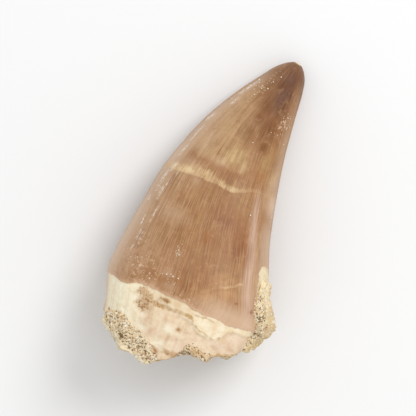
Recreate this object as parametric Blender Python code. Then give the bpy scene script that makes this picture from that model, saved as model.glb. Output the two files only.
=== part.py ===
"""A fossil mosasaur tooth, with sand still cemented to its broken root.

The tooth lies on its side. +Y runs from the broken root to the tip, +X is the inner side of the
curve, +Z is up, and z = 0 is the surface it lies on. The origin is under the middle of its box.
Lengths are in millimetres here, and closed_mesh turns them into metres.
"""

import math

import bmesh
import bpy
import numpy as np
from mathutils import Vector

MM = 0.001

# Crown: how it ends, how far the belly is worn flat, and the ridges that run along it
TIP_Y = 25.3
TIP_ROUNDING = 2.6
BELLY_WEAR = 0.16
CARINA_HEIGHT = 0.3
CARINA_SPREAD_DEG = 6.0
CARINA_DEG = (-5.6, 185.6)
CARINA_FADE = 5.0
SHOULDER_HEIGHT = 0.3
SHOULDER_SPREAD_DEG = 9.0
SHOULDER_DEG = 38.0
SHOULDER_TOP_Y = 5.0

# Root: the steps down from enamel to cement and from cement to dentine, and the hollow in the break
ENAMEL_STEP = 0.18
CEMENT_STEP = 0.35
STEP_RUN = 0.45
CEMENT_BAND = 2.4
ROOT_WAVINESS = 0.12
UNDERSIDE_SHORTER = 1.6
PULP_DEPTH = 3.2
PULP_SHARE = 0.8
PULP_FLOOR_SHARE = 0.36

# Sand: its thickness and gap to the tooth, where it ends, and how far bare places dip under the tooth
SAND_GAP = 0.3
SAND_THICKNESS = 0.75
SAND_CORNER_EXTRA = 0.3
SAND_STRIP_EXTRA = 0.6
SAND_STRIP_TOP_THINNER = 0.5
SAND_BRIDGE_THINNER = 0.55
SAND_DIP = 0.9
SAND_PLUG_SETBACK = 1.4
SAND_PLUG_SHARE = 0.86
SAND_LOWEST_Z = 4.0
SAND_CORNER_X = (-11.0, -1.6)
SAND_STRIP_TOP_Y = -6.8
SAND_BRIDGE_X = (6.0, 9.5)
SAND_BRIDGE_TOP_Z = 12.0
SAND_LUMP_X = 3.5
SAND_LUMP_REACH = 2.1
SAND_LUMP_LOWEST_Z = 9.0
SAND_LUMP_SPILL = 0.7
ROOT_HEART = (0.0, -11.0, 9.0)

# How finely the surface is cut
COLUMNS = 64
TIP_RINGS = 5
CROWN_RINGS = 20
ROOT_RINGS = 11
BREAK_RINGS = 9
SAND_FIRST_RING = 12
CUTTER_FIRST_RING = 10

# Outline seen from above, as (y, x) down each side
OUTER_EDGE = (
    (25.3, -0.9), (22, -2.7), (18, -5.3), (14, -7.6), (10, -9.3), (6, -10.65), (2, -11.65), (-2, -12.25),
    (-6, -12.7), (-11, -13.2), (-14.5, -13.35), (-18, -12.3), (-20, -11.8), (-22, -11.5), (-27, -10.6),
)
INNER_EDGE = (
    (25.3, 2.9), (22, 3.2), (18, 3.65), (14, 4.1), (10, 4.7), (6, 5.5), (2, 6.4), (-2, 7.5),
    (-6, 9.0), (-10, 10.5), (-13, 11.7), (-16, 11.3), (-20, 10.4), (-27, 9.8),
)
# Thickness, as (y, z), and how square the cross-section is, as (y, exponent)
THICKNESS = (
    (25.3, 4.4), (22, 5.6), (18, 7.2), (12, 9.7), (6, 12.0), (0, 14.2), (-6, 16.3), (-12, 18.0),
    (-16, 18.6), (-20, 18.4), (-27, 17.4),
)
SQUARENESS = ((25.3, 2.0), (15, 2.25), (5, 2.5), (-10, 2.6), (-27, 2.5))
# Lower edge of the enamel, where the root is broken off, and lower edge of the cement, as (x, y)
MARGIN_LINE = (
    (-14, -15.0), (-9.5, -15.1), (-5.7, -14.5), (-0.5, -14.5), (2.8, -14.9), (6.5, -15.0), (14, -14.5),
)
BREAK_LINE = (
    (-14, -17.6), (-11.5, -20.6), (-10, -21.8), (-8, -22.5), (-6, -23.4), (-3.6, -24.1), (-2.2, -24.1),
    (-0.6, -23.4), (0.6, -22.6), (1.9, -20.6), (3.4, -20.5), (5.4, -20.6), (7.2, -19.8), (9.4, -18.8),
    (10.6, -17.2), (14, -13.5),
)
CEMENT_LINE = (
    (-14, -27), (-8.2, -26), (-6.9, -21.5), (-6.3, -17.2), (-5.6, -16.2), (-2, -16.2), (1.2, -17.0),
    (2.4, -17.7), (4.4, -18.0), (6.1, -17.5), (6.9, -16.3), (10, -16.0), (14, -16.0),
)
# Upper edge of the sand on the outer corner, as (x, y), and near edge of the inner strip, as (y, x)
CORNER_SAND_LINE = (
    (-14, -19.3), (-10.7, -19.6), (-7.6, -19.7), (-6.3, -20.6), (-5.2, -21.1), (-3.1, -21.9), (-1.2, -23.4),
)
STRIP_SAND_LINE = ((-6.0, 9.2), (-8.5, 9.2), (-11.5, 9.8), (-14.8, 10.7), (-16.4, 10.2), (-19, 10.2))
# Points and notches of the sand's lower edge, as (x, extra thickness, spread)
SAND_POINTS = ((-6.6, 0.5, 0.6), (-4.8, -0.6, 0.8), (-9.5, -0.3, 0.9))
SAND_POINTS_BELOW_Y = (-20.5, -22.5)
SAND_POINTS_ABOVE_Z = (4, 9)


def through(knots, at):
    """A smooth curve through (position, value) knots: cubic pieces that share a slope at each knot."""
    position, value = np.array(sorted(knots), float).T
    slope = np.gradient(value, position)
    at = np.clip(at, position[0], position[-1])
    i = np.clip(np.searchsorted(position, at) - 1, 0, len(position) - 2)
    span = position[i + 1] - position[i]
    t = (at - position[i]) / span
    rise = t * t * (3 - 2 * t)
    leave = t * (1 - t) ** 2 * span * slope[i]
    arrive = t * t * (t - 1) * span * slope[i + 1]
    return value[i] * (1 - rise) + value[i + 1] * rise + leave + arrive


def smooth_step(start, stop, at):
    """0 before start, 1 after stop, and an even curve between."""
    t = np.clip((at - start) / (stop - start), 0, 1)
    return t * t * (3 - 2 * t)


def bump(at, middle, spread):
    """A bell curve of height 1."""
    return np.exp(-(((at - middle) / spread) ** 2))


def signed_power(base, exponent):
    return np.sign(base) * np.abs(base) ** exponent


def scattered(cell, salt):
    """A value from -1 to 1 for each whole-number cell that looks random and is always the same."""
    x, y, z = np.moveaxis(cell, -1, 0)
    mixed = x * 374761393 + y * 668265263 + z * 1440662683 + salt * 974634777
    mixed = (mixed ^ (mixed >> 13)) * 1274126177
    return ((mixed ^ (mixed >> 16)) & 0xFFFF) / 0x7FFF - 1.0


def lumps(points, size, salt):
    """Noise from about -1 to 1, with lumps of about this size: slopes at lattice corners, blended."""
    at = points / size
    cell = np.floor(at).astype(np.int64)
    within = at - cell
    blend = within * within * (3 - 2 * within)
    total = np.zeros(points.shape[:-1])
    for corner in np.ndindex(2, 2, 2):
        corner = np.array(corner)
        share = np.where(corner == 1, blend, 1 - blend).prod(axis=-1)
        slope = np.stack([scattered(cell + corner, salt * 3 + axis) for axis in range(3)], axis=-1)
        total += share * (slope * (within - corner)).sum(axis=-1)
    return total * 1.6


def section(angle, y):
    """The unbroken tooth's surface: a rounded oval at each y, by the angle from +X through +Z."""
    rounding = np.clip((TIP_Y - y) / TIP_ROUNDING, 0, 1)
    cap = np.sqrt(np.maximum(1 - (1 - rounding) ** 2, 0))
    outer, inner = through(OUTER_EDGE, y), through(INNER_EDGE, y)
    middle_z = through(THICKNESS, y) / 2
    flatness = 2 / through(SQUARENESS, y)
    shoulder = bump(np.degrees(angle), SHOULDER_DEG, SHOULDER_SPREAD_DEG)
    shoulder = shoulder * SHOULDER_HEIGHT * (1 - smooth_step(0, SHOULDER_TOP_Y, y))
    x = (outer + inner) / 2 + cap * (inner - outer) / 2 * signed_power(np.cos(angle), flatness)
    z = middle_z + cap * (middle_z + BELLY_WEAR / 2) * signed_power(np.sin(angle), flatness)
    x = x + shoulder * np.cos(angle)
    z = z + shoulder * np.sin(angle) - BELLY_WEAR / 2
    return np.stack([x, y, z], axis=-1)


def broken_end(x, z):
    """The y of the broken face, without the hollow in it: ragged, and a little shorter underneath."""
    underside = 1 - smooth_step(3, 12, z)
    points = np.stack([x, np.zeros_like(x), z], axis=-1)
    ragged = 0.5 * lumps(points, 3.5, 1) + 0.25 * lumps(points, 1.6, 2)
    return through(BREAK_LINE, x) + UNDERSIDE_SHORTER * underside + ragged * (0.5 + 0.5 * underside)


def break_along(angle):
    """The y at which the side meets the broken face, found by walking to it a few times."""
    y = np.full_like(angle, BREAK_LINE[1][1])
    for _ in range(6):
        x, _, z = np.moveaxis(section(angle, y), -1, 0)
        y = broken_end(x, z)
    return y


def relief(points, margin, upper):
    """How far the root stands out from the smooth form: a step down at the margin, one at the cement."""
    x, y = points[..., 0], points[..., 1]
    below_enamel = smooth_step(0, STEP_RUN, margin - y)
    cement_edge = np.where(upper, through(CEMENT_LINE, x), margin - CEMENT_BAND + 0.6 * np.sin(x * 0.9))
    cement_edge = np.minimum(cement_edge, margin - STEP_RUN)
    below_cement = smooth_step(-STEP_RUN / 2, STEP_RUN / 2, cement_edge - y)
    wavy = ROOT_WAVINESS * lumps(points, 2.2, 3)
    return below_enamel * (wavy - ENAMEL_STEP) - below_cement * CEMENT_STEP


def carinae(angle, y, margin):
    """The low cutting ridge down each edge of the crown, fading out at the tip and the margin."""
    ridge = 0
    for middle in CARINA_DEG:
        away = (np.degrees(angle) - middle + 180) % 360 - 180
        ridge = ridge + CARINA_HEIGHT * bump(away, 0, CARINA_SPREAD_DEG)
    return ridge * smooth_step(0, 2, y - margin) * smooth_step(0, CARINA_FADE, TIP_Y - y)


def tooth_grid():
    """Rings of points from the tip, down the side, over the rim and in to the middle of the break.

    It returns the tooth's points, the same points with the hollow filled level, and the share of the
    way from the middle of the break to its rim, which is above 1 up the side.
    """
    angle = np.arange(COLUMNS) * math.tau / COLUMNS
    rim = break_along(angle)
    margin = through(MARGIN_LINE, section(angle, np.full(COLUMNS, MARGIN_LINE[0][1]))[..., 0])
    margin = np.maximum(margin, rim + 2 * STEP_RUN)
    cap_turn = np.linspace(0, math.pi / 2, TIP_RINGS + 1)[1:, None]
    cap_rings = TIP_Y - TIP_ROUNDING * (1 - np.cos(cap_turn)) * np.ones(COLUMNS)
    crown_top = TIP_Y - TIP_ROUNDING
    crown_rings = crown_top + (margin - crown_top) * np.linspace(0, 1, CROWN_RINGS + 1)[1:, None]
    ledge = margin - STEP_RUN
    root_rings = ledge + (rim - ledge) * np.linspace(0, 1, ROOT_RINGS + 1)[:, None]
    y = np.concatenate([cap_rings, crown_rings, root_rings])
    side = section(np.broadcast_to(angle, y.shape), y)
    outward = np.stack([np.cos(angle), np.zeros(COLUMNS), np.sin(angle)], axis=-1)
    standing_out = relief(side, margin, np.sin(angle) > 0) + carinae(angle, y, margin)
    side = side + outward * standing_out[..., None]

    share = np.linspace(1, 0, BREAK_RINGS + 1)[1:-1, None] * np.ones(COLUMNS)
    middle = side[-1].mean(axis=0)
    face = middle + (side[-1] - middle) * share[..., None]
    near_rim = smooth_step(0.75, 1, share)
    face[..., 1] = broken_end(face[..., 0], face[..., 2]) * (1 - near_rim) + side[-1, :, 1] * near_rim
    filled = np.concatenate([side, face])
    shares = np.concatenate([1 + np.maximum(side[..., 1] - rim, 0), share])
    hollowed = filled.copy()
    hollowed[..., 1] += PULP_DEPTH * (1 - smooth_step(PULP_FLOOR_SHARE, PULP_SHARE, shares))
    return hollowed, filled, shares


def sand_depth(points, shares):
    """How thick the sand is at each point, and below 0 where the tooth is bare.

    It fills the hollow, spills over the outer corner, climbs the inner flank in a strip that is
    bridged to the hollow, and shows as a lump at the break's upper edge.
    """
    x, y, z = np.moveaxis(points, -1, 0)
    on_break = shares <= 1
    ragged = 0.5 * lumps(points, 1.5, 4)
    low = z - SAND_LOWEST_Z - 2 * ragged
    corner = np.minimum(x - SAND_CORNER_X[0], SAND_CORNER_X[1] - x)
    corner = np.minimum(corner, through(CORNER_SAND_LINE, x) - y)
    strip = np.minimum(x - through(STRIP_SAND_LINE, y), SAND_STRIP_TOP_Y - y)
    spill = np.minimum(np.maximum(corner, strip), low) + 0.6 * ragged
    bridge = 2 * smooth_step(*SAND_BRIDGE_X, x) - 0.6
    bridge = np.minimum(bridge, np.minimum(low, SAND_BRIDGE_TOP_Z - z))
    lump = np.minimum(SAND_LUMP_REACH - np.abs(x - SAND_LUMP_X), z - SAND_LUMP_LOWEST_Z)
    lump = np.minimum(lump, 1 + SAND_LUMP_SPILL - shares)
    over_rim = np.where(on_break, np.maximum.reduce([spill, bridge, lump]), np.maximum(spill, lump))
    plug = np.where(on_break, (SAND_PLUG_SHARE - shares) * 9 + ragged, -1)
    thickness = SAND_THICKNESS + SAND_CORNER_EXTRA * smooth_step(0, 3, corner)
    thickness = thickness + SAND_STRIP_EXTRA * smooth_step(0.5, 2.5, strip) * smooth_step(-10.5, -13.2, y)
    thickness = thickness - SAND_STRIP_TOP_THINNER * smooth_step(-12, -9, y)
    thickness = thickness - SAND_BRIDGE_THINNER * on_break * smooth_step(5, 8, x)
    thickness = thickness - SAND_PLUG_SETBACK * on_break * (1 - smooth_step(-1.2, 0.4, over_rim))
    at_lower_edge = smooth_step(*SAND_POINTS_BELOW_Y, y) * smooth_step(*SAND_POINTS_ABOVE_Z, z)
    for middle, extra, spread in SAND_POINTS:
        thickness = thickness + extra * bump(x, middle, spread) * at_lower_edge
    thickness = thickness + 0.3 * lumps(points, 1.3, 5) + 0.2 * lumps(points, 2.6, 6)
    covered = smooth_step(-0.35, 0.55, np.maximum(over_rim, plug))
    return covered * (thickness + SAND_DIP) - SAND_DIP


def pushed_out(points, distance):
    """Points moved away from the heart of the root, so that the surface can't fold over itself."""
    away = points - np.array(ROOT_HEART)
    length = np.linalg.norm(away, axis=-1, keepdims=True)
    return points + away / length * np.broadcast_to(distance, points.shape[:-1])[..., None]


def closed_mesh(name, rings, start):
    """A closed mesh in metres: a fan round the start, bands between rings, and a fan on the last ring."""
    bm = bmesh.new()
    made = [[bm.verts.new(Vector(point) * MM) for point in ring] for ring in rings]
    first = bm.verts.new(Vector(start) * MM)
    last = bm.verts.new(Vector(rings[-1].mean(axis=0)) * MM)
    for i in range(COLUMNS):
        j = (i + 1) % COLUMNS
        bm.faces.new((first, made[0][j], made[0][i]))
        bm.faces.new((last, made[-1][i], made[-1][j]))
        for upper, lower in zip(made, made[1:]):
            bm.faces.new((upper[i], upper[j], lower[j]))
            bm.faces.new((upper[i], lower[j], lower[i]))
    bmesh.ops.recalc_face_normals(bm, faces=bm.faces)
    mesh = bpy.data.meshes.new(name)
    bm.to_mesh(mesh)
    bm.free()
    return mesh


def material(name, colour, roughness):
    made = bpy.data.materials.new(name)
    made.use_nodes = True
    shader = made.node_tree.nodes["Principled BSDF"]
    shader.inputs["Base Color"].default_value = (*colour, 1.0)
    shader.inputs["Roughness"].default_value = roughness
    shader.inputs["Metallic"].default_value = 0.0
    return made


def placed(name, mesh, finish, collection):
    made = bpy.data.objects.new(name, mesh)
    mesh.materials.append(finish)
    mesh.shade_smooth()
    mesh.set_sharp_from_angle(angle=math.radians(50))
    collection.objects.link(made)
    return made


def build_tooth(points, collection):
    """The tooth itself, worn flat where its belly touches the surface it lies on."""
    resting = points.copy()
    resting[..., 2] = np.maximum(resting[..., 2], 0)
    tip = section(np.zeros(1), np.array([TIP_Y]))[0]
    finish = material("brown_enamel", (0.40, 0.22, 0.12), 0.35)
    return placed("tooth", closed_mesh("tooth", resting, tip), finish, collection)


def build_sand(points, filled, shares, collection, cutters):
    """The sand: the root's own form swollen where sand clings, less the tooth and a thin gap."""
    swollen = pushed_out(filled, sand_depth(filled, shares) + SAND_GAP)[SAND_FIRST_RING:]
    kept_off = pushed_out(points, SAND_GAP)[CUTTER_FIRST_RING:]
    sand_mesh = closed_mesh("sand_matrix", swollen, swollen[0].mean(axis=0))
    finish = material("cemented_sand", (0.62, 0.52, 0.36), 0.95)
    sand = placed("sand_matrix", sand_mesh, finish, collection)
    cutter_mesh = closed_mesh("tooth_and_gap", kept_off, kept_off[0].mean(axis=0))
    cutter = bpy.data.objects.new("tooth_and_gap", cutter_mesh)
    cutters.objects.link(cutter)
    cutter.hide_render = True
    cutter.display_type = "WIRE"
    cut = sand.modifiers.new("less_the_tooth", "BOOLEAN")
    cut.operation = "DIFFERENCE"
    cut.solver = "EXACT"
    cut.object = cutter
    return sand


def main():
    for old in list(bpy.data.objects):
        bpy.data.objects.remove(old)
    collection = bpy.data.collections.new("fossil_tooth")
    cutters = bpy.data.collections.new("cutters")
    for made in (collection, cutters):
        bpy.context.scene.collection.children.link(made)
    points, filled, shares = tooth_grid()
    build_tooth(points, collection)
    build_sand(points, filled, shares, collection, cutters)


main()
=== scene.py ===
# %% [markdown]
# This lesson makes a fossil mosasaur tooth for a still picture. It lies on its side on a white floor.
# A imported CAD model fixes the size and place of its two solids: the tooth, and the sand that is still
# cemented to its broken root. Here both get finer surfaces, worked out with numpy from the same
# curves, and then their finishes, about three thousand grains of sand, a lamp and a camera.

import math

import bmesh
import bpy
import numpy as np
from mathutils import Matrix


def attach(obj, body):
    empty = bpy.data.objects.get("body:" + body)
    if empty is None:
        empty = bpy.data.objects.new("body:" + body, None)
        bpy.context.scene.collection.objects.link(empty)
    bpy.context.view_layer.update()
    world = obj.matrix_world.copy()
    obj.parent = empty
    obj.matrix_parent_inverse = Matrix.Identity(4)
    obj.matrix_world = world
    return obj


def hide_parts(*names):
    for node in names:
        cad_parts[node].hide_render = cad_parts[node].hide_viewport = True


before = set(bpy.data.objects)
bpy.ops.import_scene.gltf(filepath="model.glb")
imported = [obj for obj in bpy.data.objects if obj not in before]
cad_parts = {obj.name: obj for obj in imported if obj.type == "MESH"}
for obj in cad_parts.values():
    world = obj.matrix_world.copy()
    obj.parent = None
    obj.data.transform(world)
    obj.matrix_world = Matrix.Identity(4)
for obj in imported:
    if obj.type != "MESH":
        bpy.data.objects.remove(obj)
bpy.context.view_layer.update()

# %% [markdown]
# Everything about the tooth's form is a curve against y, which runs from the root to the tip in
# millimetres. These are the drawing's own numbers, so the fine surface lies on the CAD one.

# %% Curves of the tooth's outline, thickness and section
MM = 0.001
TIP_Y = 25.3
TIP_ROUNDING = 2.6
BELLY_WEAR = 0.16
OUTER_EDGE = (
    (25.3, -0.9), (22, -2.7), (18, -5.3), (14, -7.6), (10, -9.3), (6, -10.65), (2, -11.65), (-2, -12.25),
    (-6, -12.7), (-11, -13.2), (-14.5, -13.35), (-18, -12.3), (-20, -11.8), (-22, -11.5), (-27, -10.6),
)
INNER_EDGE = (
    (25.3, 2.9), (22, 3.2), (18, 3.65), (14, 4.1), (10, 4.7), (6, 5.5), (2, 6.4), (-2, 7.5),
    (-6, 9.0), (-10, 10.5), (-13, 11.7), (-16, 11.3), (-20, 10.4), (-27, 9.8),
)
THICKNESS = (
    (25.3, 4.4), (22, 5.6), (18, 7.2), (12, 9.7), (6, 12.0), (0, 14.2), (-6, 16.3), (-12, 18.0),
    (-16, 18.6), (-20, 18.4), (-27, 17.4),
)
SQUARENESS = ((25.3, 2.0), (15, 2.25), (5, 2.5), (-10, 2.6), (-27, 2.5))
BREAK_LINE = (
    (-14, -17.6), (-11.5, -20.6), (-10, -21.8), (-8, -22.5), (-6, -23.4), (-3.6, -24.1), (-2.2, -24.1),
    (-0.6, -23.4), (0.6, -22.6), (1.9, -20.6), (3.4, -20.5), (5.4, -20.6), (7.2, -19.8), (9.4, -18.8),
    (10.6, -17.2), (14, -13.5),
)
CARINA_HEIGHT = 0.3
CARINA_SPREAD_DEG = 6.0
CARINA_DEG = (-5.6, 185.6)
CARINA_FADE = 5.0
SHOULDER_HEIGHT = 0.3
SHOULDER_SPREAD_DEG = 9.0
SHOULDER_DEG = 38.0
SHOULDER_TOP_Y = 5.0
UNDERSIDE_SHORTER = 1.6


def through(knots, at):
    """A smooth curve through (position, value) knots: cubic pieces that share a slope at each knot."""
    position, value = np.array(sorted(knots), float).T
    slope = np.gradient(value, position)
    at = np.clip(at, position[0], position[-1])
    i = np.clip(np.searchsorted(position, at) - 1, 0, len(position) - 2)
    span = position[i + 1] - position[i]
    t = (at - position[i]) / span
    rise = t * t * (3 - 2 * t)
    leave = t * (1 - t) ** 2 * span * slope[i]
    arrive = t * t * (t - 1) * span * slope[i + 1]
    return value[i] * (1 - rise) + value[i + 1] * rise + leave + arrive


def smooth_step(start, stop, at):
    """0 before start, 1 after stop, and 3t^2 - 2t^3 between."""
    t = np.clip((at - start) / (stop - start), 0, 1)
    return t * t * (3 - 2 * t)


def bump(at, middle, spread):
    """A bell curve of height 1: e to the minus ((at - middle) / spread) squared."""
    return np.exp(-(((at - middle) / spread) ** 2))


print("width at y = 0:", through(INNER_EDGE, 0.0) - through(OUTER_EDGE, 0.0), "mm")

# %% [markdown]
# Broken bone and cemented sand are lumpy without repeating. Gradient noise gives that: each corner of
# a lattice holds a slope that looks random, and a point blends the slopes of the corners round it.
# The slopes come from whole-number sums, so that every run gives the same tooth.

# %% Lumps that look random and are always the same
FACTORS = (374761393, 668265263, 1440662683, 974634777)
LAST_FACTOR = 1274126177
LUMP_HEIGHT = 1.6


def scattered(cell, salt):
    """A value from -1 to 1 for each whole-number cell, from mixed products of its three numbers."""
    mixed = sum(part * factor for part, factor in zip((*np.moveaxis(cell, -1, 0), salt), FACTORS))
    mixed = (mixed ^ (mixed >> 13)) * LAST_FACTOR
    return ((mixed ^ (mixed >> 16)) & 0xFFFF) / 0x7FFF - 1.0


def lumps(points, size, salt):
    """Noise from about -1 to 1, with lumps of about this size: slopes at lattice corners, blended."""
    at = points / size
    cell = np.floor(at).astype(np.int64)
    within = at - cell
    eased = within * within * (3 - 2 * within)
    total = np.zeros(points.shape[:-1])
    for corner in np.ndindex(2, 2, 2):
        corner = np.array(corner)
        share = np.where(corner == 1, eased, 1 - eased).prod(axis=-1)
        slope = np.stack([scattered(cell + corner, salt * 3 + axis) for axis in range(3)], axis=-1)
        total += share * (slope * (within - corner)).sum(axis=-1)
    return total * LUMP_HEIGHT


def lumpy(points, *scales):
    """Lumps of several scales added up, each given as (height, size, salt)."""
    return sum(height * lumps(points, size, salt) for height, size, salt in scales)


print("lumps at two points:", lumps(np.array([[0.4, 1.3, 2.2], [3.1, 0.2, 5.5]]), 1.0, 1))

# %% [markdown]
# A crown like this is a bent cone with a rounded, slightly square section. So its surface is a
# function of an angle round the tooth and a distance along it. A low shoulder runs down the upper
# side, as on the real one, and the broken end is where that surface is cut by a ragged sheet.

# %% The surface by angle and distance
def signed_power(base, exponent):
    return np.sign(base) * np.abs(base) ** exponent


def section(angle, y):
    """The unbroken tooth at each y, by the angle from +X through +Z.

    Halfway between the two edges, plus half the width times cos(angle) to the power 2/squareness,
    and the same with sin(angle) for the height. The cap factor closes it at the tip.
    """
    rounding = np.clip((TIP_Y - y) / TIP_ROUNDING, 0, 1)
    cap = np.sqrt(np.maximum(1 - (1 - rounding) ** 2, 0))
    outer, inner = through(OUTER_EDGE, y), through(INNER_EDGE, y)
    middle_z = through(THICKNESS, y) / 2
    flatness = 2 / through(SQUARENESS, y)
    shoulder = bump(np.degrees(angle), SHOULDER_DEG, SHOULDER_SPREAD_DEG)
    shoulder = shoulder * SHOULDER_HEIGHT * (1 - smooth_step(0, SHOULDER_TOP_Y, y))
    x = (outer + inner) / 2 + cap * (inner - outer) / 2 * signed_power(np.cos(angle), flatness)
    z = middle_z + cap * (middle_z + BELLY_WEAR / 2) * signed_power(np.sin(angle), flatness)
    x = x + shoulder * np.cos(angle)
    z = z + shoulder * np.sin(angle) - BELLY_WEAR / 2
    return np.stack([x, y, z], axis=-1)


def broken_end(x, z):
    """The y of the broken face, without the hollow in it: ragged, and a little shorter underneath."""
    underside = 1 - smooth_step(3, 12, z)
    points = np.stack([x, np.zeros_like(x), z], axis=-1)
    ragged = lumpy(points, (0.5, 3.5, 1), (0.25, 1.6, 2)) * (0.5 + 0.5 * underside)
    return through(BREAK_LINE, x) + UNDERSIDE_SHORTER * underside + ragged


def break_along(angle):
    """The y at which the side meets the broken face, found by walking to it a few times."""
    y = np.full_like(angle, BREAK_LINE[1][1])
    for _ in range(6):
        x, _, z = np.moveaxis(section(angle, y), -1, 0)
        y = broken_end(x, z)
    return y


def on_top(x, y):
    """The point of the upper surface over each (x, y), from the section's formula turned round."""
    outer, inner = through(OUTER_EDGE, y), through(INNER_EDGE, y)
    across = np.clip((x - (outer + inner) / 2) / ((inner - outer) / 2), -1, 1)
    cosine = signed_power(across, through(SQUARENESS, y) / 2)
    return section(np.arctan2(np.sqrt(1 - cosine**2), cosine), y)


print("highest point over the origin:", on_top(np.zeros(1), np.zeros(1))[0], "mm")

# %% [markdown]
# The grid's columns are spread evenly along the girth, and a little closer on the side that is seen.
# Its rings crowd together where the enamel ends, because that ledge is only a fifth of a millimetre
# high. From the rim, rings go on over the broken face to its middle.

# %% Columns round the tooth
COLUMNS = 384
UPPER_SIDE_FAVOUR = 0.3
GIRTH_AT_Y = -5.0
FINE_ANGLES = 4001


def spread_columns():
    """Angles at even steps of girth times (1 + favour * sin), and each one's share of the girth."""
    fine = np.linspace(0, math.tau, FINE_ANGLES)
    girth = section(fine, np.full_like(fine, GIRTH_AT_Y))
    step = np.linalg.norm(np.diff(girth, axis=0), axis=-1)
    cost = np.cumsum(np.append(0, step * (1 + UPPER_SIDE_FAVOUR * np.sin(fine[1:]))))
    share = np.cumsum(np.append(0, step))
    angle = np.interp(np.arange(COLUMNS) / COLUMNS, cost / cost[-1], fine)
    return angle, np.interp(angle, fine, share / share[-1])


ANGLE, GIRTH_SHARE = spread_columns()
UPPER = smooth_step(-0.25, 0.25, np.sin(ANGLE))
print("columns:", COLUMNS, "widest step:", math.degrees(np.diff(ANGLE).max()), "degrees")

# %% Lines where the enamel and the cement end
MARGIN_LINE = (
    (-14, -14.7), (-12.5, -14.75), (-9.5, -14.95), (-8.7, -14.55), (-5.7, -14.3), (-2.7, -14.4),
    (-0.5, -14.5), (1, -14.8), (2.8, -15.0), (3.8, -14.8), (6.5, -15.05), (8.5, -14.8),
    (10.4, -14.55), (14, -14.5),
)
CEMENT_LINE = (
    (-14, -27), (-8.2, -26), (-6.9, -21.5), (-6.3, -17.2), (-5.6, -16.2), (-2, -16.2), (1.2, -17.0),
    (2.4, -17.7), (4.4, -18.0), (6.1, -17.5), (6.7, -16.3), (7.4, -15.9), (9.2, -15.8),
    (10.2, -15.5), (14, -15.5),
)
CEMENT_BAND = 2.4
LEAST_CEMENT = 0.45
LEAST_ROOT = 0.9
FOOT_Y = -15.2


def enamel_margin(rim):
    """The y of the enamel's lower edge in each column, chipped on two scales."""
    foot = section(ANGLE, np.full(COLUMNS, FOOT_Y)) * (1, 0, 1)
    chipped = lumpy(foot, (0.16, 1.1, 7), (0.1, 0.45, 8))
    return np.maximum(through(MARGIN_LINE, foot[..., 0]) + chipped, rim + LEAST_ROOT)


def cement_edge(points, margin):
    """The y where the cement has flaked off the dentine: a drawn line above, a wavy band below."""
    drawn = through(CEMENT_LINE, points[..., 0])
    wavy = margin - CEMENT_BAND + 0.6 * np.sin(points[..., 0] * 0.9)
    flaked = lumpy(points * (1, 0, 1), (0.22, 1.0, 9), (0.1, 0.4, 10))
    return np.minimum(drawn * UPPER + wavy * (1 - UPPER) + flaked, margin - LEAST_CEMENT)


RIM = break_along(ANGLE)
MARGIN = enamel_margin(RIM)
print("enamel ends between y =", MARGIN.min(), "and", MARGIN.max(), "mm")

# %% Rings down the tooth
CAP_ROWS = 10
CROWN_ROWS = 150
LEDGE_ROWS = (0.18, 0.08, 0.02, -0.03, -0.08, -0.14, -0.25)
ROOT_ROWS = 50
FACE_ROWS = 36


def ring_heights():
    """The y of each ring: even turns over the cap, then even steps down the crown and the root."""
    turn = np.linspace(0, math.pi / 2, CAP_ROWS + 1)[1:, None]
    cap = TIP_Y - TIP_ROUNDING * (1 - np.cos(turn)) * np.ones(COLUMNS)
    crown_top = TIP_Y - TIP_ROUNDING
    down = np.linspace(0, 1, CROWN_ROWS + 1)[1:, None]
    crown = crown_top + (MARGIN + LEDGE_ROWS[0] - crown_top) * down
    ledge = MARGIN + np.array(LEDGE_ROWS)[1:, None]
    down = np.linspace(0, 1, ROOT_ROWS + 1)[1:, None]
    root = ledge[-1] + (RIM - ledge[-1]) * down
    return np.concatenate([cap, crown, ledge, root])


HEIGHTS = ring_heights()
FIRST_ROOT_ROW = CAP_ROWS + CROWN_ROWS + 2
print("rings down the side:", len(HEIGHTS), "and over the break:", FACE_ROWS - 1)

# %% [markdown]
# Enamel isn't smooth: fine ridges run down it, and a crack round the crown has healed with mineral.
# The root is rougher, with a step where the cement has flaked away and a few small holes for blood
# vessels. All of that is a distance that each point is moved outwards.

# %% Relief of the crown
GIRTH_RADIUS = 11.0
ALONG_STRETCH = 0.06
CRACK_LINE = (
    (-14, 3.2), (-9.7, 3.7), (-7.8, 4.1), (-5.7, 4.3), (-4.4, 4.15), (-2.9, 4.0), (-1.6, 3.75),
    (-0.5, 3.7), (0.7, 4.15), (1.8, 4.65), (2.9, 4.85), (4.2, 4.85), (5.2, 4.6), (8, 4.2),
)
CRACK_HALF_WIDTH = (
    (-14, 0.2), (-10, 0.45), (-7.8, 0.75), (-5, 0.7), (-3, 0.5), (-1.2, 0.36), (1.5, 0.34), (3, 0.16),
    (5.2, 0.12), (8, 0.1),
)
HAIR_CRACK = (
    (6.1, -8.7), (5.6, -8.85), (5.2, -9.35), (4.9, -9.6), (4.3, -9.8), (3.9, -10.15), (3.3, -10.3),
    (2.4, -10.9), (1.6, -11.7), (0.7, -12.1),
)


def along_grain(share, y):
    """A place in a space where the tooth's girth is a circle and its length is squeezed.

    Noise read there becomes streaks that run down the tooth and close round it without a seam.
    """
    turn = share * math.tau * np.ones_like(y)
    round_it = [GIRTH_RADIUS * np.cos(turn), GIRTH_RADIUS * np.sin(turn)]
    return np.stack([*round_it, y * ALONG_STRETCH], axis=-1)


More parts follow.
